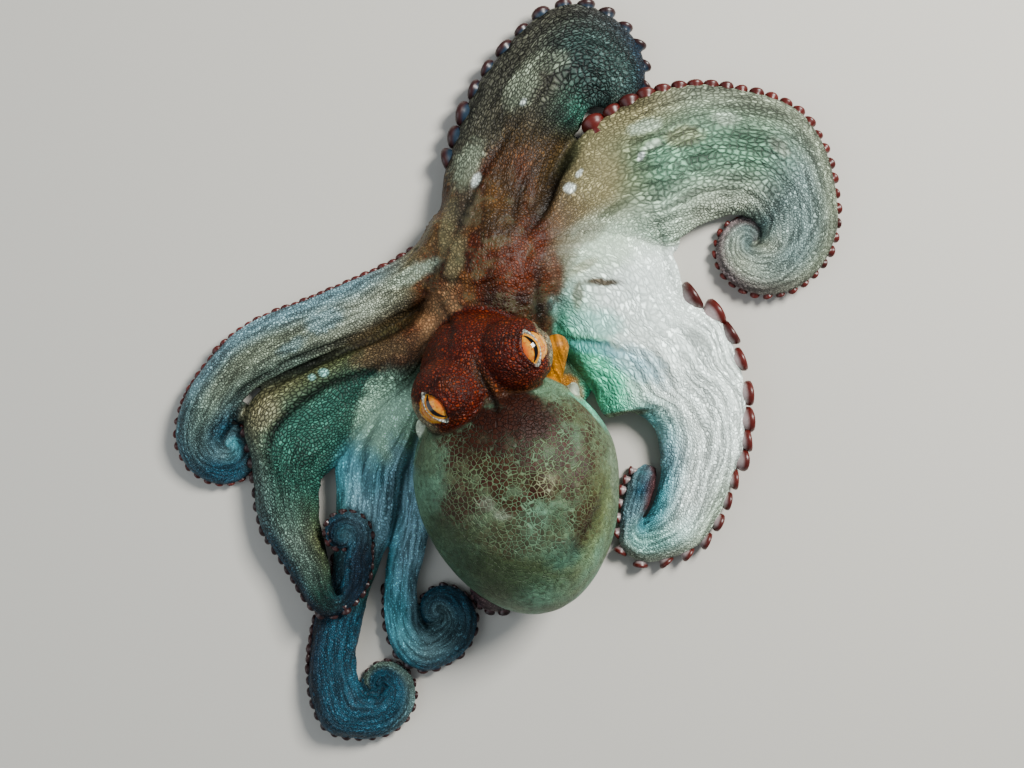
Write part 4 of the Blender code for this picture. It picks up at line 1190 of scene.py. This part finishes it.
def sucker_mesh(arm, rng):
    """All suckers of an arm: their vertices, faces and colours."""
    around = np.linspace(0, 2 * pi, SUCKER_SIDES, endpoint=False)
    colours = dict(zip(("stalk", "rim", "cup"), SUCKER_ROWS[arm.name][5:]))
    turn_spread, size_spread, tone_spread = SUCKER_SPREAD
    verts, faces, paints, count = [], [], [], 0
    for place, facing, radius in sucker_places(arm):
        low = facing[2] < -0.99
        if not low:
            facing = facing + turn_spread * rng.standard_normal(3)
            facing /= np.linalg.norm(facing)
        side = np.cross(facing, (0.3, 0.2, 1.0))
        side /= np.linalg.norm(side)
        up = np.cross(facing, side)
        radius *= 1 + size_spread * rng.standard_normal()
        shade = 1 + tone_spread * rng.standard_normal()
        rings = []
        for ring, height, part in SUCKER_SHAPE:
            rise = min(height * radius, FLOOR_LIFT - 0.05) if low else height * radius
            circle = np.cos(around)[:, None] * side + np.sin(around)[:, None] * up
            rings.append(place + facing * rise + circle * ring * radius)
            paints.append(np.tile(colour(colours[part], bright=shade), (SUCKER_SIDES, 1)))
        points, loops = tube_mesh(np.array(rings))
        paints.append(np.array([colour(colours["stalk"]), colour(colours["cup"])]))
        verts.append(points)
        faces += [[k + count for k in loop] for loop in loops]
        count += len(points)
    return np.vstack(verts), faces, np.clip(np.vstack(paints), 0, 1)


def add_suckers(arms, shift):
    """One piece of suckers for each arm."""
    rng = np.random.default_rng(3)
    material = plain_paint("suckers", SUCKER_ROUGHNESS)
    for arm in arms:
        verts, faces, paints = sucker_mesh(arm, rng)
        verts[:, 2] = np.maximum(verts[:, 2], 0.02)
        mesh = new_mesh("suckers_" + arm.name, verts * MM + shift, faces)
        soften(mesh)
        store(mesh, "ground", paints)
        mesh.materials.append(material)
        item = add_object(mesh.name, mesh)
        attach(item, "root")


# --- eyes -----------------------------------------------------------------------------------
def add_eye(name, shift):
    """A glossy ball with its gold iris and dark, level pupil."""
    _, out, level, up = eye_frame(name)
    middle = np.add(EYE_BULGES[name], EYEBALL_OUT[name])
    verts, faces = ellipsoid((0, 0, 0), (EYEBALL_RADIUS,) * 3, segments=192, rings=128)
    turn = np.array((level, up, out))
    front = verts[:, 2] / EYEBALL_RADIUS
    x, y = verts[:, 0], verts[:, 1]
    edge = OPENING_RISE - OPENING_BEND * x ** 2 - OPENING[1] * (1 - (x / OPENING[0]) ** 2)
    slit = y - edge - PUPIL_RISE
    thickness = PUPIL[1] * np.sqrt(np.clip(1.05 - (x / PUPIL[0]) ** 2, 0.01, 1))
    pupil = within(np.abs(slit) / thickness, "pupil") * (front > 0) * (np.abs(x) < PUPIL[0])
    scale, seed = IRIS_STREAKS
    streaks = clouds(np.column_stack((x * scale, y * scale)), seed)
    iris = tint(colour("ember", bright=0.7), colour("gold"), ramp(streaks, *IRIS_TONES))
    # Painted shade: the iris darkens to ember towards the upper lid.
    iris = tint(iris, colour("ember"), ramp(slit, *IRIS_EDGE))
    paint = tint(iris, colour("ink", bright=0.3), pupil)
    mesh = new_mesh(name + "_ball", (verts @ turn + middle) * MM + shift, faces)
    soften(mesh)
    store(mesh, "ground", paint)
    mesh.materials.append(plain_paint(name + "_ball", EYE_ROUGHNESS))
    item = add_object(name + "_ball", mesh)
    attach(item, "root")
    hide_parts(name)


# --- materials ------------------------------------------------------------------------------
STREAK_STRETCH = (0.09, 0.42, 1.0)
STREAK = (0.38, 0.62, 0.52, 1.32)     # from this part of the noise to this brightness
GRANULE_SCALES = (0.62, 1.0)          # of coarse and of fine granules
CELL_SCALES = (1250.0, 900.0)         # cells in a metre: on the head and crown, on the mantle
NET_EDGE = 0.02                       # the net's half width, as a share of a granule
SHOULDERS = (0.34, 0.11)              # the granules' soft edges: on the arms, on the mantle
FINE_NOISE = (3200.0, 3.0)
BRIGHT = (0.55, 0.6, 0.52)            # brightness from a granule's tone, fine noise, and the rest
FLECKS = (0.72, 0.92, 0.8)            # the tones that glint, and how much
GLOW = (0.55, 0.9, 0.12)              # the tones of the head that are warmer, and how much
HEIGHTS = (0.7, 0.5, 0.5)             # the bump from granules, fine noise and streaks
PAINT_NOISE = (1500.0, 2.0, 0.5, 0.75)    # on suckers and eyes: scale, detail, gain, least brightness
BUMP_BARE = 0.1                       # the bump's share on bare skin, and on soft skin
BUMP_SOFT = 0.5
BUMP_DISTANCE = 0.00028
BUMP_STRENGTH = 0.9
SKIN_ROUGHNESS = 0.42
SKIN_SPECULAR = 0.17
FLOOR_HALF = 2
FLOOR_ROUGHNESS = 0.9
FLOOR_COLOUR = (0.56, 0.545, 0.50, 1)
SKY = ((0.85, 0.92, 1.0, 1), 0.30)
# Name, place, size, power and colour of each lamp.
LAMPS = (
    ("key", (0.36, 0.28, 0.46), 0.20, 8.2, (1.0, 0.98, 0.93)),
    ("fill", (-0.45, -0.1, 0.4), 0.5, 1.2, (0.85, 0.93, 1.0)),
)


class Graph:
    """A short way to wire a material's nodes."""

    def __init__(self, name):
        self.material = bpy.data.materials.new(name)
        self.material.use_nodes = True
        self.nodes, self.links = self.material.node_tree.nodes, self.material.node_tree.links
        self.shader = self.nodes["Principled BSDF"]

    def add(self, kind, settings=(), **inputs):
        """A new node. Its inputs are given by name, or by number as i0, i1 and so on."""
        node = self.nodes.new("ShaderNode" + kind)
        for key, value in dict(settings).items():
            setattr(node, key, value)
        for key, value in inputs.items():
            numbered = key[0] == "i" and key[1:].isdigit()
            self.feed(node.inputs[int(key[1:]) if numbered else key], value)
        return node

    def feed(self, socket, value):
        if isinstance(value, bpy.types.NodeSocket):
            self.links.new(value, socket)
        else:
            socket.default_value = value

    def attribute(self, name):
        return self.add("Attribute", {"attribute_name": name}).outputs["Vector"]

    def parts(self, vector):
        return self.add("SeparateXYZ", i0=vector).outputs

    def math(self, operation, first, second):
        return self.add("Math", {"operation": operation}, i0=first, i1=second).outputs[0]

    def plus(self, first, second):
        return self.math("ADD", first, second)

    def times(self, first, second):
        return self.math("MULTIPLY", first, second)

    def scaled(self, vector, factor):
        return self.add("VectorMath", {"operation": "SCALE"}, i0=vector, Scale=factor).outputs[0]

    def spread(self, value, low, high, to_low=0.0, to_high=1.0):
        return self.add("MapRange", {"interpolation_type": "SMOOTHSTEP"}, i0=value, i1=low, i2=high,
                        i3=to_low, i4=to_high).outputs[0]

    def blend(self, share, first, second, kind="FLOAT"):
        node = self.add("Mix", {"data_type": kind})
        offset = {"FLOAT": 2, "RGBA": 6}[kind]
        self.feed(node.inputs[0], share)
        self.feed(node.inputs[offset], first)
        self.feed(node.inputs[offset + 1], second)
        return node.outputs[{"FLOAT": 0, "RGBA": 2}[kind]]

    def noise(self, where, scale, detail):
        return self.add("TexNoise", Vector=where, Scale=scale, Detail=detail).outputs["Fac"]

    def granules(self, where, scale, dimensions):
        """How far inside its granule each point lies, and that granule's own random tone."""
        kind = {"voronoi_dimensions": dimensions}
        edge = self.add("TexVoronoi", {**kind, "feature": "DISTANCE_TO_EDGE"}, Vector=where, Scale=scale)
        tone = self.add("TexVoronoi", {**kind, "feature": "F1"}, Vector=where, Scale=scale)
        return edge.outputs["Distance"], self.parts(tone.outputs["Color"])[0]


def arm_granules(graph, name, fine):
    """An arm's granules, coarse or fine, and the streaks along it."""
    where = graph.attribute(name)
    coarse_ones, fine_ones = (graph.granules(where, scale, "2D") for scale in GRANULE_SCALES)
    edge, tone = (graph.blend(fine, *pair) for pair in zip(coarse_ones, fine_ones))
    stretched = graph.add("VectorMath", {"operation": "MULTIPLY"}, i0=where, i1=STREAK_STRETCH)
    return edge, tone, graph.noise(stretched.outputs[0], 1.0, 2.0)


def skin_material():
    """Granules of many tones in a darker net, with streaks along the arms."""
    graph = Graph("skin")
    ground, net = graph.attribute("ground"), graph.attribute("net")
    share, body, mantle = graph.parts(graph.attribute("mixing"))
    fine, spark, head = graph.parts(graph.attribute("grain"))
    bare, soft, _ = graph.parts(graph.attribute("bare"))
    spot = graph.add("TexCoord").outputs["Object"]
    on_arms = zip(*(arm_granules(graph, name, fine) for name in ("flow_a", "flow_b")))
    arm_edge, arm_tone, streak = (graph.blend(share, *pair) for pair in on_arms)
    body_edge, body_tone = graph.granules(spot, graph.blend(mantle, *CELL_SCALES), "3D")
    tone = graph.blend(body, arm_tone, body_tone)
    streak = graph.blend(graph.math("MAXIMUM", body, soft), graph.spread(streak, *STREAK), 1.0)
    fine_noise = graph.noise(spot, *FINE_NOISE)
    edge = graph.spread(graph.blend(body, arm_edge, body_edge), NET_EDGE, graph.blend(mantle, *SHOULDERS))

    of_tone, of_noise, rest = BRIGHT
    bright = graph.plus(graph.times(tone, of_tone), graph.times(fine_noise, of_noise))
    bright = graph.times(graph.plus(bright, rest), streak)
    fleck = graph.times(graph.spread(tone, *FLECKS[:2]), spark)
    bright = graph.plus(bright, graph.times(fleck, FLECKS[2]))
    glow = graph.times(graph.spread(tone, *GLOW[:2]), head)
    warm = graph.blend(graph.times(glow, GLOW[2]), ground, (*colour("ember"), 1), "RGBA")
    base = graph.blend(edge, graph.scaled(net, streak), graph.scaled(warm, bright), "RGBA")
    graph.feed(graph.shader.inputs["Base Color"], base)

    height = 0.0
    for source, share_of_it in zip((edge, fine_noise, streak), HEIGHTS):
        height = graph.plus(height, graph.times(source, share_of_it))
    rough = graph.blend(soft, graph.blend(bare, 1.0, BUMP_BARE), BUMP_SOFT)
    bump = graph.add("Bump", Height=graph.times(height, rough), Distance=BUMP_DISTANCE,
                     Strength=BUMP_STRENGTH)
    graph.feed(graph.shader.inputs["Normal"], bump.outputs[0])
    graph.shader.inputs["Roughness"].default_value = SKIN_ROUGHNESS
    graph.shader.inputs["Specular IOR Level"].default_value = SKIN_SPECULAR
    return graph.material


def plain_paint(name, roughness):
    """The mesh's own colours with a little fine noise."""
    graph = Graph(name)
    *noise_kind, gain, least = PAINT_NOISE
    fine = graph.noise(graph.add("TexCoord").outputs["Object"], *noise_kind)
    bright = graph.plus(graph.times(fine, gain), least)
    graph.feed(graph.shader.inputs["Base Color"], graph.scaled(graph.attribute("ground"), bright))
    graph.shader.inputs["Roughness"].default_value = roughness
    return graph.material


# --- floor, light and camera ----------------------------------------------------------------
def area_light(name, place, size, power, shade):
    light = bpy.data.lights.new(name, "AREA")
    light.size = size
    light.energy = power
    light.color = shade
    item = add_object(name, light)
    item.location = place
    item.rotation_euler = (-Vector(place)).to_track_quat("-Z", "Y").to_euler()


def stage(shift):
    corners = [(FLOOR_HALF * x, FLOOR_HALF * y, 0) for x, y in ((-1, -1), (1, -1), (1, 1), (-1, 1))]
    floor = add_object("floor", new_mesh("floor", corners, [(0, 1, 2, 3)]))
    material = bpy.data.materials.new("floor")
    material.use_nodes = True
    shader = material.node_tree.nodes["Principled BSDF"]
    shader.inputs["Base Color"].default_value = FLOOR_COLOUR
    shader.inputs["Roughness"].default_value = FLOOR_ROUGHNESS
    floor.data.materials.append(material)
    for lamp in LAMPS:
        area_light(*lamp)
    world = bpy.context.scene.world or bpy.data.worlds.new("world")
    bpy.context.scene.world = world
    world.use_nodes = True
    background = world.node_tree.nodes["Background"]
    background.inputs["Color"].default_value, background.inputs["Strength"].default_value = SKY
    camera = add_object("camera", bpy.data.cameras.new("camera"))
    camera.location = (*(MM * np.array(CAMERA_FOOT) + shift[:2]), CAMERA_HEIGHT)
    camera.data.lens = LENS
    camera.data.clip_start = 0.01
    bpy.context.scene.camera = camera


main()
